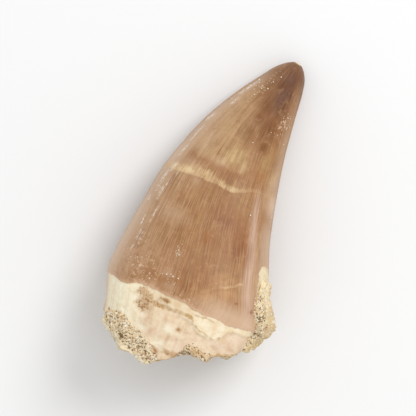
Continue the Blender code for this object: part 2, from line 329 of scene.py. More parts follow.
def carinae(y):
    """The low cutting ridge down each edge of the crown, fading out at the tip and the margin."""
    ridge = 0
    for middle in CARINA_DEG:
        away = (np.degrees(ANGLE) - middle + 180) % 360 - 180
        ridge = ridge + CARINA_HEIGHT * bump(away, 0, CARINA_SPREAD_DEG)
    return ridge * smooth_step(0, 2, y - MARGIN) * smooth_step(0, CARINA_FADE, TIP_Y - y)


def crack_edges(points):
    """How far each point is above the healed crack's lower edge, and below its upper edge, in mm."""
    x, y = points[..., 0], points[..., 1]
    above_middle, half = y - through(CRACK_LINE, x), through(CRACK_HALF_WIDTH, x)
    return half + above_middle, half - above_middle


def distance_to_path(points, path):
    """The distance in (x, y) from each point to the nearest piece of a path of straight pieces."""
    nearest = np.full(points.shape[:-1], np.inf)
    for start, stop in zip(np.array(path)[:-1], np.array(path)[1:]):
        away, run = points[..., :2] - start, stop - start
        share = np.clip(away @ run / (run @ run), 0, 1)
        nearest = np.minimum(nearest, np.linalg.norm(away - share[..., None] * run, axis=-1))
    return nearest


def crown_relief(points, grain):
    """Fine ridges along the grain, low waves, the crack's fill and a hair crack's raised line."""
    ridges = lumpy(grain, (0.022, 0.9, 11), (0.012, 0.42, 12))
    waves = 0.05 * lumps(points, 4.0, 13)
    filled = 0.04 * smooth_step(-0.1, 0.15, np.minimum(*crack_edges(points)))
    hair = 0.05 * (1 - smooth_step(0.05, 0.25, distance_to_path(points, HAIR_CRACK)))
    return ridges + waves + filled + hair * UPPER


# %% Relief of the root
ENAMEL_STEP = 0.18
LEDGE_RUN = 0.12
CEMENT_STEP = 0.22
CEMENT_RUN = 0.55
PITS = (  # x, y, radius, depth
    (-0.19, -18.5, 0.24, 0.3), (-9.1, -18.6, 0.2, 0.25), (5.7, -19.0, 0.3, 0.1), (-3.8, -20.2, 0.35, 0.08),
    (-0.5, -22.25, 0.2, 0.15), (1.1, -19.9, 0.2, 0.06), (8.0, -18.2, 0.25, 0.08),
)


def pitted(points):
    """Small rounded holes on the upper side, each a bell curve of the distance to its middle."""
    total = 0
    for x, y, radius, depth in PITS:
        away = np.hypot(points[..., 0] - x, points[..., 1] - y)
        total = total + depth * bump(away, 0, radius)
    return total * UPPER


def root_relief(points, margin_gap, cement_gap):
    """The ledge below the enamel, the step off the cement, and lumps on three scales."""
    below_enamel = smooth_step(0, LEDGE_RUN, -margin_gap)
    below_cement = smooth_step(-CEMENT_RUN / 2, CEMENT_RUN / 2, -cement_gap)
    wavy = lumpy(points, (0.12, 2.2, 3), (0.06, 0.9, 14), (0.035, 0.4, 15))
    return below_enamel * (wavy - ENAMEL_STEP - pitted(points)) - below_cement * CEMENT_STEP


# %% [markdown]
# The side and the broken face are one grid, so that the tooth is one closed skin. The face is kept
# twice: once with the pulp hollow in it, for the tooth, and once filled level, because the sand is
# worked out from the filled form.

# %% All points of the tooth
PULP_DEPTH = 3.2
PULP_SHARE = 0.8
PULP_FLOOR_SHARE = 0.36


def tooth_points():
    """The hollowed grid, the filled grid, and the share of the way from the break's middle to its rim.

    The share is above 1 up the side, by the distance in mm from the rim.
    """
    side = section(np.broadcast_to(ANGLE, HEIGHTS.shape), HEIGHTS)
    grain = along_grain(GIRTH_SHARE, HEIGHTS)
    margin_gap, cement_gap = HEIGHTS - MARGIN, HEIGHTS - cement_edge(side, MARGIN)
    on_crown = smooth_step(-0.02, 0.1, margin_gap)
    out = root_relief(side, margin_gap, cement_gap) + carinae(HEIGHTS)
    out = out + on_crown * crown_relief(side, grain)
    side = side + np.stack([np.cos(ANGLE), 0 * ANGLE, np.sin(ANGLE)], axis=-1) * out[..., None]

    share = np.linspace(1, 0, FACE_ROWS + 1)[1:-1, None] * np.ones(COLUMNS)
    middle = side[-1].mean(axis=0)
    face = middle + (side[-1] - middle) * share[..., None]
    near_rim = smooth_step(0.75, 1, share)
    face[..., 1] = broken_end(face[..., 0], face[..., 2]) * (1 - near_rim) + side[-1, :, 1] * near_rim
    face[..., 1] += lumpy(face, (0.16, 0.8, 16), (0.08, 0.35, 17)) * (1 - near_rim**3)
    filled = np.concatenate([side, face])
    shares = np.concatenate([1 + np.maximum(side[..., 1] - RIM, 0), share])
    hollowed = filled.copy()
    hollowed[..., 1] += PULP_DEPTH * (1 - smooth_step(PULP_FLOOR_SHARE, PULP_SHARE, shares))
    return hollowed, filled, shares, margin_gap, cement_gap


HOLLOWED, FILLED, SHARES, MARGIN_GAP, CEMENT_GAP = tooth_points()
print("grid:", HOLLOWED.shape, "from", HOLLOWED.min(axis=(0, 1)), "to", HOLLOWED.max(axis=(0, 1)))


# %% A closed mesh from rings
def mesh_of(name, points, *faces):
    """A mesh in metres from points in mm and arrays of corner numbers, without unused points."""
    used = np.unique(np.concatenate([corners.ravel() for corners in faces]))
    renumber = np.zeros(len(points), int)
    renumber[used] = np.arange(len(used))
    mesh = bpy.data.meshes.new(name)
    listed = [row for corners in faces for row in renumber[corners].tolist()]
    mesh.from_pydata((points[used] * MM).tolist(), [], listed)
    mesh.update()
    return mesh, used


def store(mesh, name, values):
    """Keeps a number, or a place of three numbers, for each vertex, where materials can read it."""
    kind, field = ("FLOAT", "value") if values.ndim == 1 else ("FLOAT_VECTOR", "vector")
    mesh.attributes.new(name, kind, "POINT").data.foreach_set(field, values.astype(np.float32).ravel())


def ring_quads(rings, columns):
    """Corner numbers of the four-sided faces between rings, wound so that they face outwards."""
    upper = np.arange((rings - 1) * columns).reshape(rings - 1, columns)
    beside = np.roll(upper, -1, axis=1)
    return np.stack([upper, beside, beside + columns, upper + columns], axis=-1)


def fan(first, columns, middle):
    """The triangles that close a ring, which starts at this corner number, round a middle point."""
    ring = first + np.arange(columns)
    return np.stack([np.full(columns, middle), ring, np.roll(ring, -1)], axis=-1)


def tooth_mesh():
    """The hollowed grid closed at its tip and at the break's middle, with nothing below the floor."""
    resting = HOLLOWED.copy()
    resting[..., 2] = np.maximum(resting[..., 2], 0)
    count = SHARES.size
    tip = section(np.zeros(1), np.array([TIP_Y]))
    points = np.concatenate([resting.reshape(-1, 3), tip, resting[-1].mean(axis=0)[None]])
    quads = ring_quads(len(resting), COLUMNS)
    ends = [fan(0, COLUMNS, count)[:, (0, 2, 1)], fan(count - COLUMNS, COLUMNS, count + 1)]
    mesh, _ = mesh_of("tooth_skin", points, quads.reshape(-1, 4), *ends)
    mesh.shade_smooth()
    on_root = np.zeros(len(mesh.polygons), np.int32)
    on_root[FIRST_ROOT_ROW * COLUMNS:len(quads) * COLUMNS] = 1
    on_root[-COLUMNS:] = 1
    mesh.polygons.foreach_set("material_index", on_root)
    return mesh


TOOTH_MESH = tooth_mesh()
print("tooth skin:", len(TOOTH_MESH.polygons), "faces")

# %% [markdown]
# Colour on a fossil follows its history: iron stained it along the grain, mineral filled the cracks,
# and wear paled the edges. Some marks carry painted light too: the pale rims are partly painted sheen,
# the shoulder band is a painted highlight, and the scratches carry painted glints. Each such mark is a
# number per vertex: a strength from 0 to 1, or the distance in mm from an edge. It is written to the
# mesh as a named attribute, and the materials turn it into colour with ragged edges.

# %% Places of the marks
FAR = 9.0
SPOTS = {  # for each mark: x, y, reach across, reach along, strength
    "golden": (
        (-4.6, 12.6, 2.4, 4.2, 1), (-2.6, 8.4, 2.4, 2.2, 1), (-6.6, 9.0, 2.0, 2.8, 1),
        (-4.3, 16.2, 1.3, 2.6, 1), (2.4, 9.2, 0.9, 1.5, 1), (4.2, 7.2, 0.9, 2.4, 1),
    ),
    "umber": (
        (-0.6, 17.4, 1.9, 3.2, 1), (0.8, 14.2, 1.8, 2.8, 1), (1.6, 17.4, 1.4, 2.4, 1),
        (1.2, 11.4, 0.9, 1.5, 1), (0.3, 21.0, 1.3, 1.5, 1), (-1.0, 15.2, 1.3, 1.6, 1),
        (-1.7, 12.8, 1.4, 1.9, 0.7), (3.1, 14.8, 0.7, 1.7, 0.7), (-3.8, 14.8, 1.6, 3.2, 0.3),
        (4.0, 10.0, 1.0, 1.6, 0.3),
    ),
    "russet": ((0.2, -1.2, 2.4, 1.3, 0.45), (4.0, -3.8, 1.4, 2.2, 0.45), (-1.9, -12.8, 0.8, 0.9, 0.45)),
    "amber": ((3.0, -9.4, 2.0, 1.2, 0.6), (2.6, -12.4, 2.6, 1.6, 0.6), (4.2, -11.0, 1.6, 1.2, 0.6)),
    "dusky": ((0.9, 19.4, 1.2, 2.6, 1), (1.2, 22.3, 1.5, 2.6, 1), (1.6, 20.2, 0.9, 1.6, 1)),
    "ruddy": (
        (-7.6, 6.2, 2.4, 0.8, 1), (-1.6, 5.9, 3.4, 0.7, 1), (2.2, 7.2, 1.6, 1.6, 1),
        (-1.0, -4.6, 3.0, 1.6, 1), (-2.5, -10.4, 6.0, 4.2, 1), (3.0, -3.0, 3.0, 3.4, 1),
        (0.4, -1.0, 3.2, 2.0, 1), (5.4, -12.0, 1.6, 1.0, 1),
    ),
    "pale": (
        (4.0, -13.5, 3.0, 1.4, 0.4), (1.0, -13.8, 2.0, 0.8, 0.4), (-7.2, -3.0, 2.0, 1.4, 0.4),
        (-5.0, -11.2, 1.4, 1.0, 0.4), (-4.0, -13.2, 1.4, 0.9, 0.4), (-6.2, 3.0, 0.9, 0.7, 0.4),
        (-6.2, -13.8, 1.2, 0.8, 0.4), (-7.4, 9.4, 1.6, 2.4, 0.35), (-8.8, 4.8, 1.6, 1.8, 0.35),
        (-4.0, 6.8, 1.2, 0.7, 0.35), (7.2, -9.0, 1.4, 3.2, 0.35), (4.7, 6.6, 0.9, 3.6, 0.5),
        (-5.6, -9.2, 3.2, 2.4, 0.2), (9.2, -14.2, 2.0, 0.9, 1.1),
    ),
    "chalk": (
        (-8.4, -12.3, 3.4, 2.4, 0.6), (-4.6, -7.7, 1.1, 0.9, 0.6), (-4.2, -11.5, 1.6, 0.6, 0.6),
        (2.6, 15.6, 1.6, 3.2, 0.6), (-2.6, 19.6, 1.6, 1.8, 0.6), (-0.5, -13.9, 4.0, 0.7, 0.6),
        (-10.6, -8.0, 1.6, 3.0, 0.6), (-9.4, -11.8, 1.8, 2.2, 0.68),
    ),
    "freckles": (
        (3.2, 1.2, 0.2, 0.2, 1), (6.25, -11.7, 0.2, 0.16, 1), (8.8, -12.0, 0.22, 0.3, 1),
        (-0.56, 11.4, 0.16, 0.16, 1),
    ),
    "crack_cream": ((-7.8, 4.0, 0.8, 0.45, 1), (-0.5, 3.75, 0.5, 0.3, 1), (-9.8, 3.7, 0.8, 0.5, 1)),
    "tip_chip": ((1.25, 25.4, 0.75, 0.35, 1),),
    "ochre": (
        (-6.5, -16.4, 1.1, 1.6, 1), (-7.2, -15.1, 0.9, 0.6, 1), (-3.4, -15.2, 0.75, 0.3, 1),
        (-4.8, -16.2, 1.2, 0.35, 1), (0.6, -22.2, 1.2, 0.6, 1), (-0.5, -22.2, 0.6, 0.5, 1),
        (-2.6, -22.9, 0.8, 0.8, 1),
    ),
    "rust": (
        (-0.19, -18.5, 0.36, 0.3, 1), (-2.1, -22.7, 0.5, 0.45, 1), (5.7, -19.0, 0.6, 0.4, 0.35),
        (8.0, -18.4, 0.7, 0.4, 0.35), (9.8, -18.1, 0.5, 0.7, 0.35), (-2.4, -16.15, 0.3, 0.22, 0.4),
        (-3.9, -20.2, 0.35, 0.5, 0.4), (-1.2, -20.3, 0.3, 0.7, 0.4),
    ),
    "pink": (
        (8.3, -16.7, 1.2, 1.3, 1), (-3.8, -20.2, 1.1, 0.8, 1), (5.8, -18.4, 1.6, 0.7, 1),
        (1.5, -20.6, 2.0, 1.2, 1),
    ),
    "cream": (
        (-6.5, -19.4, 0.9, 1.6, 1), (-5.6, -20.4, 1.2, 0.7, 1), (-2.4, -21.6, 1.6, 0.9, 1),
        (-1.6, -18.9, 0.9, 0.8, 1),
    ),
    "dull_band": ((-4.6, -15.1, 2.6, 1.0, 1), (-1.6, -15.2, 2.0, 0.8, 1)),
    "stain_core": ((-3.55, -15.15, 0.65, 0.24, 1), (1.6, -15.5, 0.5, 0.14, 1)),
    "iron": ((-2.1, -22.8, 0.5, 0.5, 1), (-3.3, -24.0, 0.6, 0.4, 1), (3.4, -20.6, 1.4, 0.4, 1)),
}
GOLDEN_LINES = (  # x, upper end, lower end, half width
    (-3.6, 8.7, 6.7, 0.3), (-2.4, 9.4, 7.4, 0.28), (-0.5, 8.2, 6.3, 0.34), (-4.9, 7.6, 6.6, 0.35),
    (-1.5, 9.6, 7.6, 0.3),
)
# Pale streaks near the outer edge: abraded enamel with painted glints on it.
GLINT_SCRATCHES = (  # distance from the outer edge, upper end, lower end, half width
    (0.75, 7.4, 5.4, 0.16), (1.15, 4.6, 2.8, 0.16), (0.8, 2.9, -0.1, 0.18), (1.7, 1.8, -2.0, 0.16),
    (0.5, -1.8, -2.7, 0.2), (1.35, -4.9, -6.2, 0.16), (2.05, -6.8, -8.8, 0.22), (0.9, 16.9, 15.6, 0.2),
    (0.35, 20.5, 17.5, 0.2), (0.3, 13.4, 11.8, 0.2), (0.55, 11.0, 8.0, 0.14), (1.5, 0.6, -1.2, 0.1),
    (2.2, 3.2, 0.8, 0.1), (2.4, -3.0, -5.4, 0.1), (1.9, -9.4, -10.6, 0.14),
)
OCHRE_LINES = (  # half width and path: the ledge's band, the flake's edge and top, a stain by the rim
    (0.3, ((-5.6, -15.9), (-4.2, -16.2), (-2.7, -16.1), (-0.1, -16.0), (1.0, -16.15))),
    (0.1, ((1.0, -16.15), (1.6, -16.9), (2.7, -17.4), (4.0, -17.65), (5.1, -17.9), (5.9, -17.3))),
    (0.12, ((2.3, -15.5), (3.2, -15.3), (4.3, -15.45))),
    (0.16, ((4.2, -20.3), (5.6, -20.25), (7.3, -19.55), (8.6, -19.0), (9.6, -18.45))),
)
# Where a painted highlight runs down the shoulder ridge: x at each y.
SHOULDER_HIGHLIGHT_LINE = (
    (-15, 9.0), (-12.9, 8.5), (-7.8, 6.5), (-4.8, 5.9), (-2.2, 4.95), (2.5, 3.65), (6, 3.1), (12, 2.4),
)
BARE_FLANK = (
    (-4.9, 8.1), (-5.3, 7.75), (-6, 7.7), (-7, 7.95), (-8.2, 8.2), (-10, 8.8), (-12, 9.5), (-14, 10.3),
)


def spots(points, name):
    """A mark's soft ovals, the strongest at each point: strength times a bell across and one along."""
    x, y = points[..., 0], points[..., 1]
    return np.max([
        most * bump(x, at_x, across) * bump(y, at_y, along) for at_x, at_y, across, along, most in SPOTS[name]
    ], axis=0)


def strokes(across, y, lines):
    """Thin lines down the tooth, each (place across, upper end, lower end, half width)."""
    found = []
    for place, top, bottom, half in lines:
        ends = smooth_step(bottom - 0.25, bottom + 0.35, y) * (1 - smooth_step(top - 0.5, top + 0.5, y))
        found.append(bump(across, place, half) * ends)
    return np.max(found, axis=0)


print("spots:", {name: len(places) for name, places in SPOTS.items()})


# %% Marks of the crown and the root
def crown_marks(points, grain):
    """Zones of tone, pale rims of wear and painted sheen, a painted highlight on the shoulder, scratches with
    painted glints, dust, and distances to cracks and bare places.
    """
    x, y, z = np.moveaxis(points, -1, 0)
    streaky = lumps(grain, 0.5, 21)
    from_outer, from_inner = x - through(OUTER_EDGE, y), through(INNER_EDGE, y) - x
    side_fade = smooth_step(1.0, 9.0, z)
    umber, core = spots(points, "umber"), spots(points, "dusky")
    dusky = smooth_step(17.5, 23.5, y + 1.2 * lumps(grain, 1.4, 22)) * (0.8 - 0.5 * bump(from_outer, 0, 1.3))
    ruddy = np.clip(spots(points, "ruddy") + 0.5 * lumps(points, 3.2, 23), 0, 1)
    # Paler towards the outer edge: worn enamel, and a painted sheen that lightens the left half, which the
    # light reaches less.
    wear_and_sheen = smooth_step(9.0, 1.0, from_outer) * (0.75 + 0.25 * lumps(points, 2.5, 24))
    wear_and_sheen = wear_and_sheen * (1 - 0.5 * ruddy * smooth_step(4.0, 6.0, y)) * smooth_step(22.0, 15.0, y)
    wear_and_sheen = wear_and_sheen * (1 - 0.85 * umber)
    # The rims are pale from wear and from painted sheen along both edges of the crown.
    outer_rim = bump(from_outer, 0, 1.3) * (0.8 + 0.3 * bump(y, 5.3, 3.0) + 0.3 * smooth_step(-1, -4, y))
    inner_rim = bump(from_inner, 0, 1.6 + 1.2 * smooth_step(-4, -8, y)) * smooth_step(3, -1, y)
    pale = np.maximum.reduce([
        spots(points, "pale"), outer_rim * smooth_step(24, 20, y) * (0.35 + 0.65 * side_fade),
        bump(from_inner, 0, 1.3) * bump(y, 3.8, 2.2) * smooth_step(4.5, 7.0, z),
        0.5 * bump(from_inner, 0, 0.9) * smooth_step(22, 16, y) * side_fade, 0.72 * inner_rim * side_fade,
        0.95 * smooth_step(-10.8, -14.2, y) * smooth_step(-2.0, 5.0, x) * side_fade,
    ])
    flank_top = -5.1 - y - smooth_step(9.5, 6.5, z) * (2.0 + 3.6 * lumps(points, 3.0, 41))
    flank_low = z - 4.8 - 2.4 * lumps(points, 2.6, 42)
    crack_low, crack_high = crack_edges(points)
    hair_crack = distance_to_path(points, HAIR_CRACK) + 0.12 * smooth_step(4.2, 2.4, x)
    seen_above = {
        "golden": spots(points, "golden") * smooth_step(5.9, 7.3, y + 1.1 * streaky),
        "golden_lines": strokes(x, y, GOLDEN_LINES), "umber": umber, "wear_and_sheen": wear_and_sheen,
        **{name: spots(points, name) for name in ("russet", "amber", "freckles")},
        # A pale band on the shoulder ridge: a painted highlight.
        "shoulder": bump(x, through(SHOULDER_HIGHLIGHT_LINE, y), 0.6 - 0.02 * y) * smooth_step(7.0, 1.5, y),
        # Scratches near the outer edge, with painted glints on them.
        "glint_scratch": strokes(from_outer, y, GLINT_SCRATCHES),
        "chalk": np.maximum(spots(points, "chalk"), 0.42 * bump(from_outer, 1.1, 0.9)),
    }
    return {
        **{name: values * UPPER for name, values in seen_above.items()},
        "dusky": np.maximum(dusky, np.clip(1.15 * core + 0.25 * streaky * core, 0, 1)),
        "ruddy": ruddy, "pale": pale, "crack_low": crack_low, "crack_high": crack_high,
        "soft_streaks": smooth_step(-7, -11, y) * smooth_step(9.5, 4, from_outer),
        "crack_shown": 0.35 + 0.65 * smooth_step(2.6, -0.6, x), "crack_cream": spots(points, "crack_cream"),
        "hair_crack": np.where(UPPER > 0.5, hair_crack, FAR),
        "tip_chip": spots(points, "tip_chip") * smooth_step(1.6, 2.6, z),
        "bare_flank": np.minimum.reduce([x - through(BARE_FLANK, y), flank_top, flank_low]),
        "sandy_flank": smooth_step(-7.2, -8.4, y),
    }


def root_marks(points):
    """Ochre and rusty stains, pinker and creamier dentine, warmer and duller cement, the root's rim."""
    x, y, z = np.moveaxis(points, -1, 0)
    upper = smooth_step(6, 10, z)
    line = np.max([half - distance_to_path(points, path) for half, path in OCHRE_LINES], axis=0)
    stains = ("ochre", "rust", "pink", "cream", "dull_band", "stain_core")
    return {
        **{name: spots(points, name) * upper for name in stains},
        "warm_cement": smooth_step(-8.5, -5.5, x), "ochre_line": np.where(z > 8, line, -FAR),
        "root_rim": bump(x - through(OUTER_EDGE, y), 0, 0.5) * upper,
    }


def with_face(gap):
    """A gap on the side, with rows for the broken face, which lies far below every edge."""
    return np.concatenate([gap, np.full((FACE_ROWS - 1, COLUMNS), -FAR)])


def write_marks(mesh, marks):
    """Each mark as a number per vertex: 0 in rows it doesn't have, and a ring's mean at its end point."""
    for name, values in marks.items():
        whole = np.zeros(SHARES.size + 2)
        whole[:values.size] = values.ravel()
        whole[-2] = values[0].mean()
        if len(values) == len(SHARES):
            whole[-1] = values[-1].mean()
        store(mesh, name, whole)


MARKS = {
    **crown_marks(HOLLOWED[:len(HEIGHTS)], along_grain(GIRTH_SHARE, HEIGHTS)), **root_marks(HOLLOWED),
    "margin_gap": with_face(MARGIN_GAP), "cement_gap": with_face(CEMENT_GAP),
    "on_break": smooth_step(1.25, 0.95, SHARES), "break_share": SHARES,
}
GRAIN = along_grain(GIRTH_SHARE, HOLLOWED[..., 1])
write_marks(TOOTH_MESH, MARKS)
store(TOOTH_MESH, "along_grain", np.concatenate([GRAIN.reshape(-1, 3), GRAIN[0, :1], GRAIN[-1, :1]]))
print("marks:", sorted(MARKS))

# %% [markdown]
# Materials are trees of small nodes. These helpers add one node each and hand back what it puts out,
# and sums and products of that add math nodes, so that a finish reads like a recipe. Colours are
# given as they look on a screen, from 0 to 255.

# %% Node helpers
LIGHT_LEVEL = 1.24
GLOSS_VEIL = 0.035


class Wire:
    """What a node puts out. Arithmetic on it adds a math node and gives what that one puts out."""

    def __init__(self, tree, socket):
        self.tree, self.socket = tree, socket

    def __add__(self, other):
        return math_node("ADD", self, other)

    def __mul__(self, other):
        return math_node("MULTIPLY", self, other)

    def __sub__(self, other):
        return math_node("SUBTRACT", self, other)

    def __rsub__(self, other):
        return math_node("SUBTRACT", other, self)

    def __rtruediv__(self, other):
        return math_node("DIVIDE", other, self)


def connect(tree, socket, value):
    """Joins a wire to a node's socket, or sets the socket to a number or a colour."""
    if isinstance(value, Wire):
        tree.links.new(value.socket, socket)
    else:
        socket.default_value = value


def put(tree, kind, sockets, output=0, **settings):
    """Adds a node of a kind with its sockets and settings, and gives one of its outputs."""
    made = tree.nodes.new(kind)
    for name, value in settings.items():
        setattr(made, name, value)
    for name, value in sockets.items():
        connect(tree, made.inputs[name], value)
    return Wire(tree, made.outputs[output])


def math_node(how, first, second):
    tree = first.tree if isinstance(first, Wire) else second.tree
    return put(tree, "ShaderNodeMath", {0: first, 1: second}, operation=how)


def paint(red, green, blue):
    """The surface colour that shows as this screen colour where the scene's light falls on it.

    The sRGB curve is undone, the veil of reflected light is taken off, and the rest is divided by
    the light's level. A value above 255 makes up for the weaker light on the left side.
    """
    shown = np.array([red, green, blue]) / 255
    linear = np.where(shown > 0.04045, ((shown + 0.055) / 1.055) ** 2.4, shown / 12.92)
    return (*np.clip((linear - GLOSS_VEIL) / LIGHT_LEVEL, 0.01, 0.9).tolist(), 1.0)


def blend(amount, under, over):
    """One colour laid over another by an amount from 0 to 1, each a wire or a screen colour."""
    under, over = (colour if isinstance(colour, Wire) else paint(*colour) for colour in (under, over))
    return put(amount.tree, "ShaderNodeMix", {0: amount, 6: under, 7: over}, 2, data_type="RGBA")


def coats(colour, *layers):
    """A colour with others laid over it in turn, each layer given as (amount, colour)."""
    for amount, over in layers:
        colour = blend(amount, colour, over)
    return colour


def between(value, low, high, least=0.0, most=1.0):
    """A value turned into least below low, most above high, and a smooth curve between."""
    sockets = {"Value": value, "From Min": low, "From Max": high, "To Min": least, "To Max": most}
    return put(value.tree, "ShaderNodeMapRange", sockets, interpolation_type="SMOOTHSTEP")


def noise(place, size, detail=2.0, roughness=0.5):
    """Soft noise from 0 to 1, with features of about this size in the units of place."""
    sockets = {"Vector": place, "Scale": 1 / size, "Detail": detail, "Roughness": roughness}
    return put(place.tree, "ShaderNodeTexNoise", sockets)


def mark(tree, name):
    return put(tree, "ShaderNodeAttribute", {}, "Fac", attribute_name=name)


def grain_place(tree):
    return put(tree, "ShaderNodeAttribute", {}, "Vector", attribute_name="along_grain")


def object_place(tree):
    return put(tree, "ShaderNodeTexCoord", {}, "Object")


def relief(height, strength, distance):
    """A fine unevenness of the surface that the light shows."""
    return put(height.tree, "ShaderNodeBump", {"Strength": strength, "Distance": distance, "Height": height})


def finish_of(name, recipe):
    """A material whose recipe says what each of its shader's sockets gets."""
    made = bpy.data.materials.new(name)
    made.use_nodes = True
    tree = made.node_tree
    for socket, value in recipe(tree).items():
        connect(tree, tree.nodes["Principled BSDF"].inputs[socket], value)
    return made


print("a tan in linear light:", paint(175, 130, 95)[:3])

# %% [markdown]
# Three effects serve more than one finish, so each is a group: an edge that wanders, a cloudy
# unevenness of tone, and the tiny specks that ground-in sand leaves.

# %% Shared effects as node groups
def ragged_edge(place, inside, wander, size, softness):
    """1 where inside is above 0. The edge shifts by (noise - 0.5) * wander and is 2 * softness wide."""
    moved = inside + (noise(place, size, 3.0, 0.6) - 0.5) * wander
    return between(moved, softness * -1.0, softness)


def cloudy_tone(place, size, contrast):
    """Unevenness of tone from 0 to 1, in clouds of the given size with finer ones inside them."""
    half = 0.22 / contrast
    return between(noise(place, size, 4.0, 0.62), 0.5 - half, half + 0.5)


def sandy_specks(place, size, amount):
    """Separate specks of the given size, where amount is from 0 (none) to 1 (most of the surface)."""
    level = 0.78 - amount * 0.36
    return between(noise(place, size, 1.5, 0.6), level, level + 0.06)


def group_of(recipe, *inputs):
    """A node group named for its recipe, which turns a place and some numbers into one value."""
    tree = bpy.data.node_groups.new(recipe.__name__, "ShaderNodeTree")
    tree.interface.new_socket("Place", in_out="INPUT", socket_type="NodeSocketVector")
    for name in inputs:
        tree.interface.new_socket(name, in_out="INPUT", socket_type="NodeSocketFloat")
    tree.interface.new_socket("Value", in_out="OUTPUT", socket_type="NodeSocketFloat")
    given = [Wire(tree, socket) for socket in list(tree.nodes.new("NodeGroupInput").outputs)[:-1]]
    connect(tree, tree.nodes.new("NodeGroupOutput").inputs[0], recipe(*given))
    return tree


EDGE_GROUP = group_of(ragged_edge, "Inside", "Wander", "Size", "Softness")
CLOUD_GROUP = group_of(cloudy_tone, "Size", "Contrast")
SPECK_GROUP = group_of(sandy_specks, "Size", "Amount")


def effect(group, place, **sockets):
    """A shared effect placed in a material, with its own values."""
    return put(place.tree, "ShaderNodeGroup", {"Place": place, **sockets}, node_tree=group)


def ragged(place, inside, wander, size, soft):
    return effect(EDGE_GROUP, place, Inside=inside, Wander=wander, Size=size, Softness=soft)


def cloudy(place, size, contrast):
    return effect(CLOUD_GROUP, place, Size=size, Contrast=contrast)


def specks(place, size, amount):
    return effect(SPECK_GROUP, place, Size=size, Amount=amount)


print("groups:", [tree.name for tree in (EDGE_GROUP, CLOUD_GROUP, SPECK_GROUP)])

# %% [markdown]
# Enamel: a warm brown that iron gave it, in hair-fine streaks along the grain, under a gloss dulled by wear.
# Zones of tone come first, partly painted sheen at the rims and a painted highlight on the shoulder, then
# streaks over all of them, then cracks, scratches with painted glints, and dust on top.

# %% Brown enamel
ENAMEL_ZONES = (  # mark, its least share between streaks, colour
    ("ruddy", 0.45, (168, 114, 74)), ("golden", 0.6, (196, 160, 112)), ("umber", 0.85, (130, 87, 54)),
    ("golden_lines", 0.1, (218, 188, 138)), ("russet", 1.0, (146, 90, 54)), ("amber", 0.8, (218, 168, 118)),
    ("dusky", 1.0, (106, 72, 57)),
)
STREAK_SIZES = (1.1, 0.42, 0.17)
STREAK_COATS = (  # which streak, the noise at which it is full, its most, colour
    (0, 0.7, 0.15, (206, 168, 124)), (0, 0.32, 0.17, (138, 98, 68)),
    (1, 0.66, 0.13, (216, 178, 136)), (1, 0.36, 0.17, (126, 86, 60)),
    (2, 0.6, 0.26, (222, 186, 146)), (2, 0.4, 0.3, (120, 82, 58)),
)


def enamel_zones(tree, place, broad):
    """The tones under the streaks, each mark thinned a little between broad streaks."""
    colour = blend(cloudy(place, 0.004, 0.8), (180, 136, 94), (168, 122, 82))
    for name, least, shade in ENAMEL_ZONES:
        colour = blend(mark(tree, name) * between(broad, 0.3, 0.62, least, 1.0), colour, shade)
    # Paler towards the outer edge: wear, with painted sheen.
    return blend(mark(tree, "wear_and_sheen") * between(broad, 0.35, 0.6, 0.45, 0.75), colour, (214, 180, 150))


def streaked(tree, colour, place, streaks):
    """Pale and dark streaks of three widths, then growth lines across them, mottles and a fine grain."""
    softer = mark(tree, "soft_streaks")
    patches = between(noise(place, 0.003), 0.35, 0.65, 0.45, 1.0) * between(softer, 0.0, 1.0, 1.0, 0.45)
    patches = patches * between(mark(tree, "umber"), 0.0, 1.0, 1.0, 0.6)
    for which, full_at, most, shade in STREAK_COATS:
        colour = blend(between(streaks[which], 0.5, full_at, 0.0, most) * patches, colour, shade)
    across = put(tree, "ShaderNodeMapping", {"Vector": place, "Scale": (0.25, 1.0, 0.25)})
    mottled, dappled = noise(place, 0.0012, 3.0, 0.6), noise(place, 0.0008, 4.0, 0.65)
    return coats(
        colour, (between(noise(across, 0.0005, 2.0, 0.6), 0.54, 0.7, 0.0, 0.12) * patches, (140, 98, 68)),
        (between(mottled, 0.52, 0.68, 0.0, 0.22), (146, 98, 64)),
        (between(mottled, 0.46, 0.32, 0.0, 0.22), (212, 172, 130)),
        (between(dappled, 0.44, 0.62) * softer * 0.5, (214, 172, 138)),
        (between(noise(place, 0.00024, 2.0, 0.6), 0.5, 0.68, 0.0, 0.14), (130, 92, 66)),
    )


def cracked(tree, colour, place, middle, fine):
    """The healed crack's cream filling, which the streaks show through, and the hair crack."""
    lower = ragged(place, mark(tree, "crack_low"), wander=0.5, size=0.0008, soft=0.12)
    upper = mark(tree, "crack_high") + between(middle, 0.3, 0.7, -0.15, 0.15)
    upper = ragged(place, upper, wander=0.8, size=0.0007, soft=0.45)
    patchy = cloudy(place, 0.0011, 0.9)
    crack = lower * upper * mark(tree, "crack_shown") * between(patchy, 0.0, 1.0, 0.45, 1.0)
    crack = crack * between(fine, 0.36, 0.56, 0.4, 1.0)
    hair = ragged(place, 0.11 - mark(tree, "hair_crack"), wander=0.36, size=0.0009, soft=0.16)
    return crack, coats(
        colour, (crack, (228, 196, 152)),
        (mark(tree, "crack_cream") * between(patchy, 0.0, 0.8, 0.2, 0.85), (240, 214, 170)),
        (hair * 0.7, (228, 194, 152)), (mark(tree, "freckles") * 0.75, (132, 82, 56)),
    )


